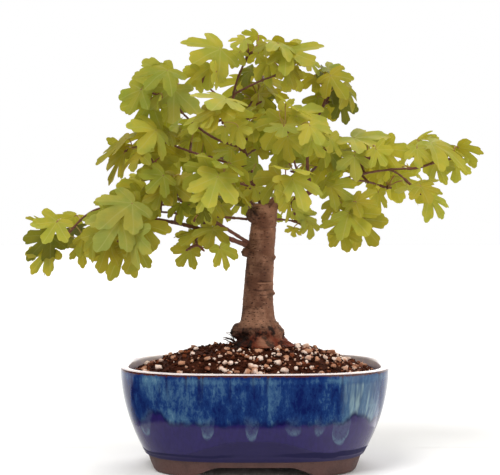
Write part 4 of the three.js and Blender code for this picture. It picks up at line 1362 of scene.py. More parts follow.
class BONSAI_OT_soil(bpy.types.Operator):
    """Heaps the soil and strews pumice, bark chips and crumbs over it."""

    bl_idname = "bonsai.soil"
    bl_label = "Soil"

    def execute(self, context):
        soil, pot = context.scene.bonsai_soil, context.scene.bonsai_pot
        earth = earth_finish(soil)
        add_piece("soil_mound", mound_mesh(soil, pot), ["soil"], [earth])
        stones = [lump(kind, roundness=0.82, unevenness=0.6) for kind in range(6)]
        splinters = [lump(kind, roundness=0.25, unevenness=0.5) for kind in range(6, 12)]
        pale = stone_finish("pale_pumice", soil.pumice, soil.tan, soil)
        brown = stone_finish("brown_pumice", soil.tan, soil.chip, soil)
        bark, few = chip_finish(soil), soil.pebbles // 3
        kinds = (
            Grains("soil_pumice_pale", soil.pebbles, 11.3, stones, (1.2, 5.4), (0.6, 0.95), 0.02, 0.06, pale),
            Grains("soil_pumice_brown", few, 733.1, stones, (1.5, 4.2), (0.6, 0.95), 0.0, 0.4, brown),
            Grains("soil_bark_chips", soil.chips, 1501.7, splinters, (1.4, 4.6), (0.2, 0.5), 0.0, 1.0, bark),
            Grains("soil_crumbs", soil.crumbs, 2907.9, stones, (0.9, 3.0), (0.6, 1.0), 0.05, 1.0, earth),
        )
        heaps = [strewn(grains, soil, pot) for grains in kinds]
        add_stones(heaps[:2], stones, soil, pot)
        for heap, grains in zip(heaps, kinds):
            add_piece(grains.name, heap.mesh(grains.name), ["soil"], [grains.finish])
        return {"FINISHED"}


# Old knots and burls on the trunk: middle and radius, in millimetres
TRUNK_KNOBS = (
    ((0.5, -3, 187), 6.6),
    ((12.6, -2.5, 155.5), 3.2),
    ((10.6, -3, 129), 4.3),
    ((-6.6, -4, 159.2), 3.4),
    ((-11.5, -7, 100.5), 6.2),
    ((13.2, -5, 102.5), 6.0),
)
# Creases round the trunk: height, depth, width, middle of the turn in degrees and half its span.
# The turn counts from the front to the left.
TRUNK_CREASES = (
    (137.4, 0.6, 0.45, 325, 55),
    (136.2, -0.35, 0.6, 325, 50),
    (131.0, 0.5, 0.8, 335, 62),
    (127.0, 0.36, 0.9, 335, 58),
    (118.5, 0.3, 0.6, 20, 60),
    (150.2, 0.3, 0.6, 30, 50),
    (168.5, 0.35, 0.6, 350, 80),
    (178.0, 0.35, 0.7, 320, 70),
    (105.8, -0.12, 1.2, 0, 250),
    (102.4, 0.4, 0.9, 0, 250),
)
# Dark bark on the burl, and painted shade under the knobs: middle and reach
DARK_SPOTS = (
    ((-5, -8, 187.5), 11),
    ((14, -5, 154), 3.6),
    ((13, -7, 126.2), 4.2),
    ((-11, -5, 158), 4.5),
    ((-16, -9, 98.5), 7),
)
# How finely the bark is cut
TRUNK_SIDES = 112
TRUNK_RINGS = 190
BOUGH_SIDES = 14
BOUGH_RING = 0.9
TWIG_SIDES = 8
# The painted highlight on the roots, a pale patch in front: middle, and where it starts and ends to fade
ROOT_HIGHLIGHT = ((8, -19, 93), 2, 9)
# The stub of an old cut: start, end and radius
CUT_STUB = ((8, -1, 190), (15.6, -4.5, 198), 3.6)
# Clods on the roots: height and how close they lie
ROOT_CLODS = ((1.3, 0.28), (0.9, 0.62), (0.5, 1.4))


def knob_swell(place, out, middle, radius):
    """How far a place on the trunk moves out to reach the surface of a knob."""
    away = place - Vector(middle)
    along = away.dot(out)
    inside = along * along - away.length_squared + radius * radius
    return max(0.0, math.sqrt(inside) - along) if inside > 0 else 0.0


def crease_depth(place, turn):
    """How deep the creases cut at a place of the trunk."""
    cut = 0.0
    for height, depth, width, centre, half in TRUNK_CREASES:
        offset = abs((math.degrees(turn) - centre + 180) % 360 - 180)
        level = place.z - height - 1.1 * noise.noise(Vector((place.x, place.y, height)) * 0.13)
        cut += depth * math.exp(-((level / width) ** 2)) * (1 - ease(offset, half * 0.6, half))
    return cut


def trunk_relief(strength):
    """The trunk's relief: fine wrinkles, creases, and strands of root under the collar."""

    def relief(along, turn, place):
        grain = 0.24 * noise.noise(place * 0.3) + 0.14 * noise.noise(place * 1.1)
        wrinkles = 0.16 * noise.noise(place * Vector((0.22, 0.22, 1.9)))
        bumps = max(0.0, noise.noise(place * Vector((0.55, 0.55, 0.9))) - 0.32) * 0.9
        strands = 1 - abs(noise.noise(place * Vector((0.3, 0.3, 0.1)))) * 2
        clods = sum(height * noise.noise(place * scale) for height, scale in ROOT_CLODS)
        torn = (1 - ease(place.z, 99, 104)) * (1.4 * strands - 0.9 + clods)
        return strength * (grain + wrinkles + bumps - crease_depth(place, turn) + torn)

    return relief


def root_colour(finish, bark, grain, clods, black):
    """Torn red roots with painted shade at the left and a painted highlight as a pale patch in front."""
    light = linear(bark.light)
    red = finish.blend(finish.rise(clods, 0.4, 0.58), black, linear(bark.root))
    red = finish.blend(finish.rise(clods, 0.62, 0.78, 0.0, 0.4), red, light)
    red = finish.blend(finish.rise(grain, 0.5, 0.66, 0.0, 0.7), red, black)
    # Painted shade: the roots darker at the left.
    red = finish.blend(finish.rise(finish.axis("X"), -0.016, 0.006, 0.75, 0.0), red, black)
    # Painted highlight: a pale patch on the roots in front, broken up by the clods.
    patch = finish.times(finish.near(*ROOT_HIGHLIGHT), finish.rise(clods, 0.4, 0.6, 0.15, 0.6))
    return finish.blend(patch, red, light)


def bark_finish(bark):
    """Brown bark with wrinkles and pores, red and torn over the roots, with painted shade and highlights."""
    finish = Finish("trunk_bark")
    side = finish.axis("X")
    patches = finish.cloud(62, 4, 0.6)
    wrinkles = finish.cloud(1, 4, 0.65, finish.stretched((170, 170, 900)), 0.3)
    grain = finish.cloud(1300, 4, 0.7)
    pores = finish.cells(1, finish.stretched((260, 260, 560)))
    flecks = finish.cells(1, finish.stretched((120, 120, 330)))
    clods = finish.cloud(150, 4, 0.65)
    streaks = finish.cloud(1, 3, 0.6, finish.stretched((60, 60, 22), (0.4, 0.0, 0.0)))
    crease = finish.add("ShaderNodeAttribute", attribute_name="crease").outputs["Fac"]
    brown, dark, light = linear(bark.brown), linear(bark.dark), linear(bark.light)
    black = shaded(dark, 0.35)
    colour = finish.blend(finish.rise(patches, 0.38, 0.62), brown, light)
    colour = finish.blend(finish.rise(streaks, 0.45, 0.66, 0.0, 0.38), colour, dark)
    colour = finish.blend(finish.rise(wrinkles, 0.5, 0.7, 0.0, 0.5), colour, dark)
    colour = finish.blend(finish.rise(flecks, 0.08, 0.2, 0.5, 0.0), colour, light)
    colour = finish.blend(finish.rise(pores, 0.1, 0.3, 0.95, 0.0), colour, dark)
    colour = finish.blend(finish.rise(grain, 0.5, 0.72, 0.0, 0.5), colour, dark)
    uneven_spot = finish.rise(clods, 0.4, 0.6, 0.95, 0.35)
    # Dark bark on the burl and painted shade under the knobs.
    for middle, reach in DARK_SPOTS:
        spot = finish.times(finish.near(middle, 0.45 * reach, reach), uneven_spot)
        colour = finish.blend(spot, colour, black)
    # Painted shade in the cut creases and a painted highlight on the raised ones, read from their depth.
    colour = finish.blend(finish.rise(crease, 0.08, 0.6, 0.0, 0.8), colour, dark)
    colour = finish.blend(finish.rise(crease, -0.3, -0.05, 0.6, 0.0), colour, light)
    # Painted shade darkens the left side of the trunk and a painted highlight lightens its right side.
    colour = finish.blend(finish.rise(side, -0.012, 0.003, 0.45, 0.0), colour, dark)
    colour = finish.blend(finish.rise(side, 0.007, 0.015, 0.0, 0.35), colour, light)
    uneven = finish.plus(finish.axis("Z"), finish.rise(patches, 0.2, 0.8, -0.006, 0.006))
    gnarled = finish.rise(uneven, 0.102, 0.1115, 0.85, 0.0)
    gnarled = finish.times(gnarled, finish.rise(clods, 0.42, 0.58, 1.0, 0.15))
    colour = finish.blend(gnarled, colour, black)
    rooty = finish.rise(uneven, 0.0945, 0.1035, 1.0, 0.0)
    colour = finish.blend(rooty, colour, root_colour(finish, bark, grain, clods, black))
    bump = finish.plus(wrinkles, finish.times(grain, 0.5))
    bump = finish.minus(bump, finish.rise(pores, 0.1, 0.3, 0.5, 0.0))
    return finish.surface(colour, 0.8, finish.relief(bump, 0.6, 0.0009), Specular_IOR_Level=0.25)


def twig_finish(bark):
    """Smooth red-brown bark of boughs and twigs, with pale flecks."""
    finish = Finish("twig_bark")
    patches = finish.cloud(60, 3, 0.6)
    flecks = finish.cells(1100)
    grain = finish.cloud(900, 3, 0.65)
    twig, dark = linear(bark.twig), linear(bark.dark)
    colour = finish.blend(finish.rise(patches, 0.35, 0.65), twig, linear(bark.brown))
    colour = finish.blend(finish.rise(grain, 0.5, 0.7, 0.0, 0.45), colour, dark)
    colour = finish.blend(finish.rise(flecks, 0.08, 0.2, 0.55, 0.0), colour, linear(bark.light))
    return finish.surface(colour, 0.6, finish.relief(grain, 0.4, 0.0005), Specular_IOR_Level=0.4)


def petiole_finish(bark):
    """Leaf stalks, yellow with a red side."""
    finish = Finish("petioles")
    tone = finish.cloud(38, 2, 0.5)
    grain = finish.cloud(900, 2, 0.5)
    colour = finish.blend(finish.rise(tone, 0.4, 0.62), linear(bark.petiole), linear(bark.blush))
    colour = finish.blend(finish.rise(grain, 0.5, 0.75, 0.0, 0.3), colour, linear(bark.twig))
    return finish.surface(colour, 0.5, finish.relief(grain, 0.2, 0.0002))


def cut_finish(bark):
    """Bare wood of old cuts, weathered."""
    finish = Finish("cut_wood")
    rings = finish.cloud(420, 4, 0.65)
    colour = finish.blend(finish.rise(rings, 0.42, 0.66), linear(bark.cut), linear(bark.dark))
    return finish.surface(colour, 0.75, finish.relief(rings, 0.4, 0.0005))


# The swelling where a bough leaves the trunk: its place out along the bough, its size beside the
# bough, and the highest share of the trunk that has one
SWELLING_PLACE = 9.5
SWELLING_SIZE = 1.12
SWELLING_LIMIT = 0.96


def bough_swellings(limbs):
    """A swelling where each bough leaves the trunk: middle and radius."""
    swellings = []
    for bough in BOUGHS:
        if bough.parent == "trunk" and bough.share < SWELLING_LIMIT:
            limb = limbs[bough.name]
            share = SWELLING_PLACE / bough.length
            swellings.append((limb.line.at(share), SWELLING_SIZE * limb.radius(share, 0)))
    return swellings


def trunk_mesh(limbs, strength):
    """The trunk with its flare, knobs and bark."""
    limb = limbs["trunk"]
    knobs = [*TRUNK_KNOBS, *bough_swellings(limbs)]
    bm = bmesh.new()
    base_relief = trunk_relief(strength)

    def relief(along, turn, place):
        centre = Vector(limb.line.at(along))
        out = (place - centre).normalized()
        swell = max(knob_swell(place, out, middle, radius) for middle, radius in knobs)
        gnarl = ease(swell, 0, 1.5) * (0.8 * noise.noise(place * 0.5) + 0.45 * noise.noise(place * 1.1))
        return swell + gnarl + base_relief(along, turn, place)

    rolled_limb(bm, limb.line, limb.radius, TRUNK_SIDES, TRUNK_RINGS, relief)
    bmesh.ops.recalc_face_normals(bm, faces=bm.faces)
    # The creases' depth, kept for their painted shade and highlights in the bark's colour.
    marks = bm.verts.layers.float.new("crease")
    for vert in bm.verts:
        along = min(max((vert.co.z - TRUNK_FOOT[2]) / (TRUNK_TOP[2] - TRUNK_FOOT[2]), 0), 1)
        away = vert.co - Vector(limb.line.at(along))
        vert[marks] = crease_depth(vert.co, math.atan2(-away.x, -away.y))
    return finished(bm, "trunk_bark")


def cut_mesh(start, end, radius):
    """A short stub with a rolled bark edge round its bare cut."""
    start, end = Vector(start), Vector(end)
    bm = bmesh.new()
    deep = (end - start).length
    bmesh.ops.create_cone(bm, cap_ends=True, segments=28, radius1=radius * 1.15, radius2=radius, depth=deep)
    top = max(bm.faces, key=lambda face: face.calc_center_median().z)
    bmesh.ops.inset_region(bm, faces=[top], thickness=radius * 0.3, depth=0.25)
    bmesh.ops.inset_region(bm, faces=[top], thickness=radius * 0.12, depth=-0.7)
    top.material_index = 1
    bmesh.ops.inset_region(bm, faces=[top], thickness=radius * 0.22, depth=0.2)
    turn = (end - start).to_track_quat("Z", "Y").to_matrix()
    bmesh.ops.rotate(bm, verts=bm.verts, cent=(0, 0, 0), matrix=turn)
    bmesh.ops.translate(bm, verts=bm.verts, vec=(start + end) / 2)
    for vert in bm.verts:
        vert.co += vert.normal * 0.35 * noise.noise(vert.co * 0.6)
    return finished(bm, "trunk_cut")


ROOTLETS = 11
ROOTLET_TAPER = 0.6


def rootlet_radius(wide):
    """Radius of a thin root that tapers to its tip."""

    def radius(along, turn):
        return wide * (1 - ROOTLET_TAPER * along)

    return radius


def no_relief(along, turn, place):
    return 0.0


def rootlet_mesh():
    """Thin dead roots that stand out of the soil at the left of the trunk."""
    bm = bmesh.new()
    for i in range(ROOTLETS):
        a, b, c, d = (chance(i * 3.1 + k + 0.4) for k in range(4))
        start = np.array((-16 + 3 * a, -9 + 9 * b, 89.0 + 5 * c))
        end = start + np.array((-4 - 5 * d, -3 + 4 * a, 1 + 5 * b))
        control = (start + end) / 2 + np.array((c - 0.5, d - 0.5, 1.6 * a)) * 2.4
        rolled_limb(bm, Line(start, control, end), rootlet_radius(0.28 + 0.25 * d), 7, 7, no_relief)
    bmesh.ops.recalc_face_normals(bm, faces=bm.faces)
    return finished(bm, "trunk_rootlets")


class BONSAI_OT_trunk(bpy.types.Operator):
    """Models the trunk with its bark, the thin roots by it and the old cut on it."""

    bl_idname = "bonsai.trunk"
    bl_label = "Trunk"

    def execute(self, context):
        bark, leaf = context.scene.bonsai_bark, context.scene.bonsai_leaf
        limbs, _ = grown_plant(leaf.fine_share, leaf.fine_blade)
        finish = bark_finish(bark)
        add_piece("trunk_bark", trunk_mesh(limbs, bark.relief), ["trunk"], [finish])
        add_piece("trunk_rootlets", rootlet_mesh(), ["trunk"], [finish])
        wood = cut_finish(bark)
        add_piece("trunk_cut", cut_mesh(*CUT_STUB), ["trunk"], [finish, wood])
        return {"FINISHED"}


# Old buds on a bough: how far apart, and the height of their rings, in millimetres
BUD_SPACING = 9.5
BUD_RING = 0.28
# A bough's thickness beside its solid's: at the start of one with leaves or without, and at the tip
LEAFY_START = 0.68
BARE_START = 0.9
BOUGH_TIP = 0.9
# Boughs drawn apart from the one that they fork from: how far above its start, in millimetres
LIFTS = {"left_upper": 3.4}
LIFT_LEAD = 6
LIFT_MIDDLE = 0.6


def bough_relief(strength, length, seed):
    """A bough's relief: uneven bark and a ring at each old bud."""

    def relief(along, turn, place):
        buds = math.cos(along * length / BUD_SPACING * 2 * math.pi + seed)
        ring = BUD_RING * max(0, buds - 0.82) / 0.18
        return strength * (0.22 * noise.noise(place * 0.4) + 0.1 * noise.noise(place * 1.2) + ring)

    return relief


def drawn_radius(bough, limb):
    """A bough's radius, slimmer than its solid's."""
    start = LEAFY_START if bough.mass else BARE_START

    def radius(share, turn):
        return (start + (BOUGH_TIP - start) * share) * limb.radius(share, turn)

    return radius


def drawn_line(limb):
    """A bough's middle line, lifted at its start where it forks close to the trunk."""
    if limb.name not in LIFTS:
        return limb.line
    start, control, end = limb.line.corners
    start = start - limb.line.heading(0) * LIFT_LEAD + UP * LIFTS[limb.name]
    return Line(start, control + UP * LIFT_MIDDLE, end)


class BONSAI_OT_boughs(bpy.types.Operator):
    """Models the boughs with their bark, as one piece."""

    bl_idname = "bonsai.boughs"
    bl_label = "Boughs"

    def execute(self, context):
        bark, leaf = context.scene.bonsai_bark, context.scene.bonsai_leaf
        limbs, _ = grown_plant(leaf.fine_share, leaf.fine_blade)
        bm = bmesh.new()
        for bough in BOUGHS:
            limb = limbs[bough.name]
            rings = max(12, round(bough.length / BOUGH_RING))
            relief = bough_relief(bark.relief, bough.length, len(bough.name))
            rolled_limb(bm, drawn_line(limb), drawn_radius(bough, limb), BOUGH_SIDES, rings, relief)
        bmesh.ops.recalc_face_normals(bm, faces=bm.faces)
        nodes = [f"bough_{bough.name}" for bough in BOUGHS]
        add_piece("bough_bark", finished(bm, "bough_bark"), nodes, [twig_finish(bark)])
        return {"FINISHED"}


def shoot_radius(line):
    """Radius along a stem or twig, swollen where leaves stand."""

    def radius(share):
        nodes = sum(math.exp(-(((share - node) * line.length / 0.8) ** 2)) for node in NODE_SHARES)
        return 1.05 - 0.35 * share + 0.28 * nodes

    return radius


def bud_radius(share):
    return 0.25 + 0.7 * math.sin(math.pi * min(0.08 + share * 0.9, 1))


def joint_radius(share):
    return 1.15


def stalk_radius(share):
    return 0.62 - 0.5 * share + 0.34 * share**2


# Where a drawn stalk ends in its blade, as a share of the blade
STALK_END = 0.03


class BONSAI_OT_twigs(bpy.types.Operator):
    """Grows the stems, twigs, buds and leaf stalks of all sprays."""

    bl_idname = "bonsai.twigs"
    bl_label = "Twigs"

    def execute(self, context):
        bark, leaf = context.scene.bonsai_bark, context.scene.bonsai_leaf
        _, sprays = grown_plant(leaf.fine_share, leaf.fine_blade)
        twigs, stalks = Heap(), Heap()
        for spray in sprays:
            start, heading = spray.stem.at(0), spray.stem.heading(0)
            joint = Line(start - heading * 2, start, start + heading * 1.2)
            twigs.add(*rod(joint, joint_radius, TWIG_SIDES, 3))
            for shoot in spray.shoots():
                steps = max(6, round(shoot.length / 1.6))
                twigs.add(*rod(shoot, shoot_radius(shoot), TWIG_SIDES, steps))
                tip, heading = shoot.at(1), shoot.heading(1)
                bud = Line(tip - heading * 0.4, tip + heading, tip + heading * 2.8)
                twigs.add(*rod(bud, bud_radius, TWIG_SIDES, 5))
            for blade in spray.leaves:
                root, control, _ = blade.petiole.corners
                stalk = Line(root, control, blade.base + blade.axis * blade.length * STALK_END)
                stalks.add(*rod(stalk, stalk_radius, 5, 7))
        nodes = sorted({f"foliage_{spray.name}" for spray in sprays})
        add_piece("twigs", twigs.mesh("twigs"), nodes, [twig_finish(bark)])
        add_piece("petioles", stalks.mesh("petioles"), nodes, [petiole_finish(bark)])
        return {"FINISHED"}


# Half of a blade's outline from its tip to its base: turn from the midrib in degrees, and reach
BLADE_HALF = (
    (0, 1.0), (3.4, 0.995), (6.4, 0.955), (9, 0.91), (13, 0.90), (16, 0.84), (17, 0.70), (18.6, 0.56),
    (21.5, 0.44), (24.6, 0.53), (27.4, 0.64), (29.8, 0.75), (33, 0.815), (38.2, 0.815), (41.4, 0.875),
    (45, 0.91), (49.5, 0.91), (53, 0.87), (55.8, 0.79), (60.8, 0.775), (64.4, 0.70), (67, 0.54),
    (73, 0.40), (79.5, 0.45), (85.5, 0.525), (94, 0.57), (104, 0.565), (112, 0.52), (121, 0.40),
    (140, 0.25), (160, 0.14), (172, 0.08),
)
# Turns of the veins and of the lobes whose lengths vary
BLADE_VEINS = (0, 47, 98)
BLADE_LOBES = (-104, -46, 0, 46, 104)
LOBE_CHANGE = 0.16
BLADE_CORE = 0.55
BLADE_SLACK = 0.2
# How far a leaf tips, leans and swings at most from side to side, in degrees, each with its key
BLADE_TILTS = ((25, 26), (26, 54), (27, 24))
# Tints, and how masses in front, behind and at the ends of the crown share them out; behind, fewer bright and
# more deep leaves are painted shade
TINTS = ("bright", "fresh", "olive", "green", "pale", "deep")
FRONT_DEAL = (0.30, 0.22, 0.18, 0.20, 0.08, 0.02)
SHADED_BACK_DEAL = (0.10, 0.18, 0.36, 0.20, 0.06, 0.10)
END_DEAL = (0.12, 0.22, 0.32, 0.16, 0.14, 0.04)
CROWN_ENDS = 88
CROWN_BACK = 20
SPRAY_TINTS = 3


def dealt(deal, luck):
    """The tint that a number from 0 to 1 falls on."""
    return TINTS[min(int(np.searchsorted(np.cumsum(deal), luck)), len(TINTS) - 1)]


def mass_deal(mass):
    """How a mass shares out the tints: fewer bright ones behind, with more deep ones as painted shade, and
    fewer bright ones at the ends of the crown.
    """
    if abs(mass.middle[0]) > CROWN_ENDS:
        return END_DEAL
    return FRONT_DEAL if mass.middle[1] < CROWN_BACK else SHADED_BACK_DEAL


def blade_height(turn, reach, key, fold, curl):
    """How far places of a blade stand off its flat, as shares of its length."""
    apart = np.min([np.abs(np.abs(turn) - vein) for vein in BLADE_VEINS], axis=0)
    gutter = fold * (0.25 + 1.1 * chance(key + 21)) * reach * np.clip(apart / 24, 0, 1) * (1 - 0.4 * reach)
    book = 0.22 * (chance(key + 22) - 0.25) * reach * np.abs(np.sin(np.radians(turn)))
    tips = curl * 2 * (chance(key + 23) - 0.6) * reach**3
    wave = 0.035 * np.sin(np.radians(turn) * 4 + 6.28 * chance(key + 24)) * reach**2
    return -0.65 * BLADE_SAG * reach**2 + gutter + book + tips + wave


def turned_pair(a, b, angle):
    """Two directions at right angles to each other, turned in their plane."""
    return a * math.cos(angle) + b * math.sin(angle), b * math.cos(angle) - a * math.sin(angle)


def tilted(leaf):
    """A leaf's axis, side and normal, each turned a little from how the rule hangs it."""
    tip, lean, swing = (math.radians(most * (chance(leaf.key + k) - 0.5)) for k, most in BLADE_TILTS)
    axis, side = turned_pair(leaf.axis, leaf.side, swing)
    side, normal = turned_pair(side, leaf.normal, lean)
    axis, normal = turned_pair(axis, normal, tip)
    return axis, side, normal


def blade_form(leaf, fold, curl):
    """Vertices, faces and face marks of a leaf's blade: two rings round the end of its stalk."""
    axis, side, normal = tilted(leaf)
    half = np.array(BLADE_HALF)
    turn = np.concatenate((half[:, 0], [180], -half[:0:-1, 0]))
    reach = np.concatenate((half[:, 1], [0.05], half[:0:-1, 1]))
    lobes = [1 + LOBE_CHANGE * (chance(leaf.key + 30 + k) - 0.5) for k in range(len(BLADE_LOBES))]
    reach = reach * np.interp(turn, BLADE_LOBES, lobes)
    turn = turn + 5 * np.sin(np.radians(turn) * 2 + 6.28 * chance(leaf.key + 29)) * (np.abs(turn) < 150)
    core = slice(0, len(turn), 2)
    turns = np.concatenate(([0], turn[core], turn))
    reaches = np.concatenate(([0], reach[core] * BLADE_CORE, reach))
    rise = blade_height(turns, reaches, leaf.key, fold, curl)
    level = np.radians(turns)
    verts = leaf.base + leaf.length * (1 - BLADE_SLACK * chance(leaf.key + 28)) * (
        np.outer(reaches * np.cos(level), axis)
        + np.outer(reaches * np.sin(level), side)
        + np.outer(rise, normal)
    )
    count = len(turn) // 2
    shares = turns / 360 + 0.5
    faces, marks = [], []
    for i in range(count):
        n = (i + 1) % count
        edge = [1 + count + (2 * i + k) % (2 * count) for k in (2, 1, 0)]
        faces += [[0, 1 + n, 1 + i], [1 + i, 1 + n, *edge]]
        middle = (shares[1 + i] + shares[edge[1]]) / 2
        for face in faces[-2:]:
            for corner in face:
                share = middle if corner == 0 else shares[corner]
                wrapped = share - round(share - shares[edge[1]])
                marks.append((wrapped, reaches[corner]))
    return verts, faces, marks


def leaf_finish(name, tint, vein):
    """A thin blade with paler veins that lets light through."""
    finish = Finish(f"leaf_{name}")
    marks = finish.add("ShaderNodeUVMap", uv_map="blade").outputs[0]
    turn = finish.maths("ABSOLUTE", finish.times(finish.minus(finish.axis("X", marks), 0.5), 360))
    reach = finish.axis("Y", marks)
    apart = turn
    for line in BLADE_VEINS[1:]:
        apart = finish.maths("MINIMUM", apart, finish.off(turn, line))
    apart = finish.maths("RADIANS", apart)
    across = finish.times(finish.maths("SINE", apart), reach)
    along = finish.times(finish.maths("COSINE", apart), reach)
    main = finish.rise(across, 0.004, 0.02, 0.5, 0.0)
    ribs = finish.maths("FRACT", finish.times(finish.minus(along, across), 8.0))
    ribs = finish.rise(finish.off(ribs, 0.5), 0.03, 0.14, 0.12, 0.0)
    blotch = finish.cloud(70, 3, 0.55)
    fine = finish.cloud(600, 3, 0.6)
    base = linear(tint)
    warm = (base[0] * 1.08, base[1] * 0.97, base[2] * 0.82, 1.0)
    cool = (base[0] * 0.72, base[1] * 0.84, base[2] * 0.86, 1.0)
    colour = finish.blend(finish.rise(blotch, 0.35, 0.65), warm, cool)
    colour = finish.blend(finish.rise(fine, 0.5, 0.75, 0.0, 0.3), colour, cool)
    veins = finish.maths("MAXIMUM", main, ribs)
    faded = min(1.0, base[1] / 0.4) ** 0.8
    colour = finish.blend(veins, colour, shaded(linear(vein), faded))
    bump = finish.minus(finish.times(fine, 0.4), veins)
    through = finish.blend(veins, (min(base[0] * 1.3, 1), min(base[1] * 1.25, 1), base[2] * 0.6, 1.0), base)
    normal = finish.relief(bump, 0.25, 0.0006)
    return finish.surface(colour, 0.6, normal, through, 0.4, Specular_IOR_Level=0.22)


class BONSAI_OT_leaves(bpy.types.Operator):
    """Hangs the leaves, gathered into one piece for each tint."""

    bl_idname = "bonsai.leaves"
    bl_label = "Leaves"

    def execute(self, context):
        leaf = context.scene.bonsai_leaf
        _, sprays = grown_plant(leaf.fine_share, leaf.fine_blade)
        heaps = {tint: Heap() for tint in TINTS}
        holders = {tint: [] for tint in TINTS}
        for spray in sprays:
            deal, seed = mass_deal(spray.mass), spray.mass.seed * 3.7
            tints = [dealt(deal, chance(seed + k)) for k in range(SPRAY_TINTS)]
            for blade in spray.leaves:
                tint = tints[min(int(chance(blade.key + 11) * SPRAY_TINTS), SPRAY_TINTS - 1)]
                heaps[tint].add(*blade_form(blade, leaf.fold, leaf.curl))
                holders[tint].append(f"foliage_{spray.name}")
        for tint in TINTS:
            if not holders[tint]:
                continue
            nodes = sorted(set(holders[tint]))
            finish = leaf_finish(tint, getattr(leaf, tint), leaf.vein)
            add_piece(f"leaves_{tint}", heaps[tint].mesh(f"leaves_{tint}"), nodes, [finish])
        return {"FINISHED"}


def add_light(name, place, power, softness):
    """Far light that falls from a place towards the plant, as wide as a soft screen."""
    light = bpy.data.lights.new(name, "SUN")
    light.energy = power
    light.angle = math.radians(softness)
    lamp = bpy.data.objects.new(name, light)
    lamp.location = place
    lamp.rotation_euler = (Vector((0, 0, 0.15)) - Vector(place)).to_track_quat("-Z", "Y").to_euler()
    bpy.context.scene.collection.objects.link(lamp)


def add_floor(name, bm, depth, material):
    """A level sheet of the floor, a little under the feet."""
    bmesh.ops.translate(bm, verts=bm.verts, vec=(0, 0, -depth))
    mesh = bpy.data.meshes.new(name)
    bm.to_mesh(mesh)
    bm.free()
    mesh.materials.append(material)
    sheet = bpy.data.objects.new(name, mesh)
    bpy.context.scene.collection.objects.link(sheet)
    return sheet


def add_floors(stage, pot):
    """A wide floor, and the parts of it round the pot and behind it that the glaze mirrors."""
    finish = Finish("floor")
    floor = linear(stage.floor)
    paper = finish.surface(finish.blend(finish.cloud(30, 3, 0.5), floor, shaded(floor, 0.97)), 0.9)
    wide = bmesh.new()
    bmesh.ops.create_grid(wide, x_segments=8, y_segments=8, size=6)
    add_floor("floor", wide, 0.0006, paper).visible_glossy = False
    near = bmesh.new()
    long, deep = POT_SIZE.x / 2 + stage.sheet, POT_SIZE.y / 2 + stage.sheet
    bmesh.ops.create_circle(near, cap_ends=True, segments=96, radius=long)
    to_oblong(near, pot)
    narrow = POT_SIZE.x / POT_SIZE.y * deep / long
    bmesh.ops.scale(near, verts=near.verts, vec=(1, narrow, 1))
    bmesh.ops.translate(near, verts=near.verts, vec=Vector(POT_MIDDLE))
    add_floor("floor_near", near, 0.0004, paper)
    behind = bmesh.new()
    bmesh.ops.create_grid(behind, x_segments=8, y_segments=8, size=3)
    bmesh.ops.translate(behind, verts=behind.verts, vec=(0, 3 + POT_HIGH.y, 0))
    add_floor("floor_behind", behind, 0.0005, paper)


# The backdrop that the glaze mirrors: how far it reaches round to the right, and over which way it
# comes up to its brightness
SCREEN_ASIDE = 0.6
SCREEN_SPAN = 1.1


def studio_world(stage):
    """White to the camera, soft light on the plant, and a dark room with a backdrop to the glaze."""
    world = bpy.data.worlds.new("studio")
    world.use_nodes = True
    tree = world.node_tree
    tree.nodes.clear()
    link = tree.links.new
    kinds = ("LightPath", "TexCoord", "SeparateXYZ", "Math", "MapRange", "OutputWorld")
    rays, way, split, aside, fade, out = (tree.nodes.new(f"ShaderNode{kind}") for kind in kinds)
    seen, cast, shone = (tree.nodes.new("ShaderNodeBackground") for _ in range(3))
    others, all_rays = (tree.nodes.new("ShaderNodeMixShader") for _ in range(2))
    seen.inputs["Color"].default_value = (1, 1, 1, 1)
    cast.inputs["Color"].default_value = (1, 0.985, 0.96, 1)
    cast.inputs["Strength"].default_value = stage.sky
    fade.inputs["From Min"].default_value = 0.0
    fade.inputs["From Max"].default_value = SCREEN_SPAN
    fade.inputs["To Min"].default_value = stage.room
    fade.inputs["To Max"].default_value = stage.screen
    aside.operation = "MULTIPLY_ADD"
    aside.inputs[1].default_value = SCREEN_ASIDE
    link(way.outputs["Generated"], split.inputs[0])
    link(split.outputs["X"], aside.inputs[0])
    link(split.outputs["Y"], aside.inputs[2])
    link(aside.outputs[0], fade.inputs["Value"])
    link(fade.outputs["Result"], shone.inputs["Strength"])
    link(rays.outputs["Is Glossy Ray"], others.inputs[0])
    link(cast.outputs[0], others.inputs[1])
    link(shone.outputs[0], others.inputs[2])
    link(rays.outputs["Is Camera Ray"], all_rays.inputs[0])
    link(others.outputs[0], all_rays.inputs[1])
    link(seen.outputs[0], all_rays.inputs[2])
    link(all_rays.outputs[0], out.inputs[0])
    return world


# How far the camera looks down, as a slope
VIEW_SLOPE = 30.5 / 1466.67


def add_camera(stage):
    """The camera in front of the plant."""
    camera = bpy.data.cameras.new("camera")
    camera.sensor_width = 36
    camera.lens = stage.focal_length
    eye = bpy.data.objects.new("camera", camera)
    eye.location = Vector(POT_MIDDLE) + Vector(VIEW_PLACE) * MM
    eye.rotation_euler = (math.radians(90) - math.atan(VIEW_SLOPE), 0, 0)
    bpy.context.scene.collection.objects.link(eye)
    bpy.context.scene.camera = eye


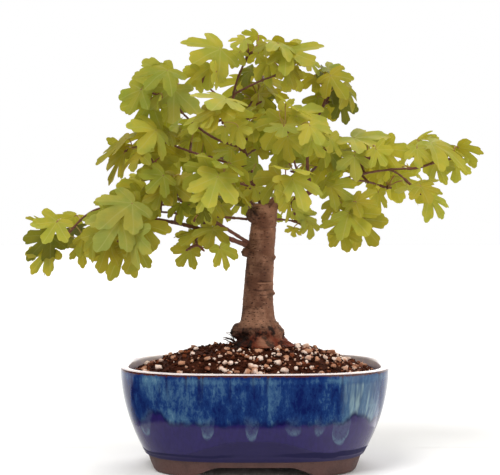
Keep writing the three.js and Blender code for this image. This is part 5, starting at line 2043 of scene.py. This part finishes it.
class BONSAI_OT_stage(bpy.types.Operator):
    """Sets the pale floor, the soft light and the camera."""

    bl_idname = "bonsai.stage"
    bl_label = "Stage"

    def execute(self, context):
        scene, stage = context.scene, context.scene.bonsai_stage
        add_floors(stage, scene.bonsai_pot)
        scene.world = studio_world(stage)
        scene.view_settings.view_transform = "Standard"
        add_light("key", (-0.5, -0.75, 1.3), stage.key, 30)
        add_light("fill", (1.1, -0.7, 0.55), stage.fill, 60)
        add_light("back", (0.25, 0.9, 1.1), stage.back, 40)
        add_camera(stage)
        return {"FINISHED"}


class BONSAI_PT_sidebar(bpy.types.Panel):
    """Lists the steps that build the bonsai, with their sizes and colours."""

    bl_label = "Bonsai"
    bl_idname = "BONSAI_PT_sidebar"
    bl_space_type = "VIEW_3D"
    bl_region_type = "UI"
    bl_category = "Bonsai"

    def draw(self, context):
        for operator in OPERATORS:
            self.layout.operator(operator.bl_idname)
        for name, group in GROUPS.items():
            box = self.layout.box()
            box.label(text=group.__doc__)
            for prop in group.__annotations__:
                box.prop(getattr(context.scene, name), prop)


GROUPS = {
    "bonsai_pot": PotProperties,
    "bonsai_soil": SoilProperties,
    "bonsai_bark": BarkProperties,
    "bonsai_leaf": LeafProperties,
    "bonsai_stage": StageProperties,
}
OPERATORS = (
    BONSAI_OT_pot,
    BONSAI_OT_soil,
    BONSAI_OT_trunk,
    BONSAI_OT_boughs,
    BONSAI_OT_twigs,
    BONSAI_OT_leaves,
    BONSAI_OT_stage,
)


def register():
    for item in (*GROUPS.values(), *OPERATORS, BONSAI_PT_sidebar):
        bpy.utils.register_class(item)
    for name, group in GROUPS.items():
        setattr(bpy.types.Scene, name, PointerProperty(type=group))


def unregister():
    for name in GROUPS:
        delattr(bpy.types.Scene, name)
    for item in (BONSAI_PT_sidebar, *OPERATORS[::-1], *GROUPS.values()):
        bpy.utils.unregister_class(item)


def main():
    register()
    bpy.ops.bonsai.pot()
    bpy.ops.bonsai.soil()
    bpy.ops.bonsai.trunk()
    bpy.ops.bonsai.boughs()
    bpy.ops.bonsai.twigs()
    bpy.ops.bonsai.leaves()
    bpy.ops.bonsai.stage()
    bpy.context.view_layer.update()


if __name__ == "__main__":
    main()
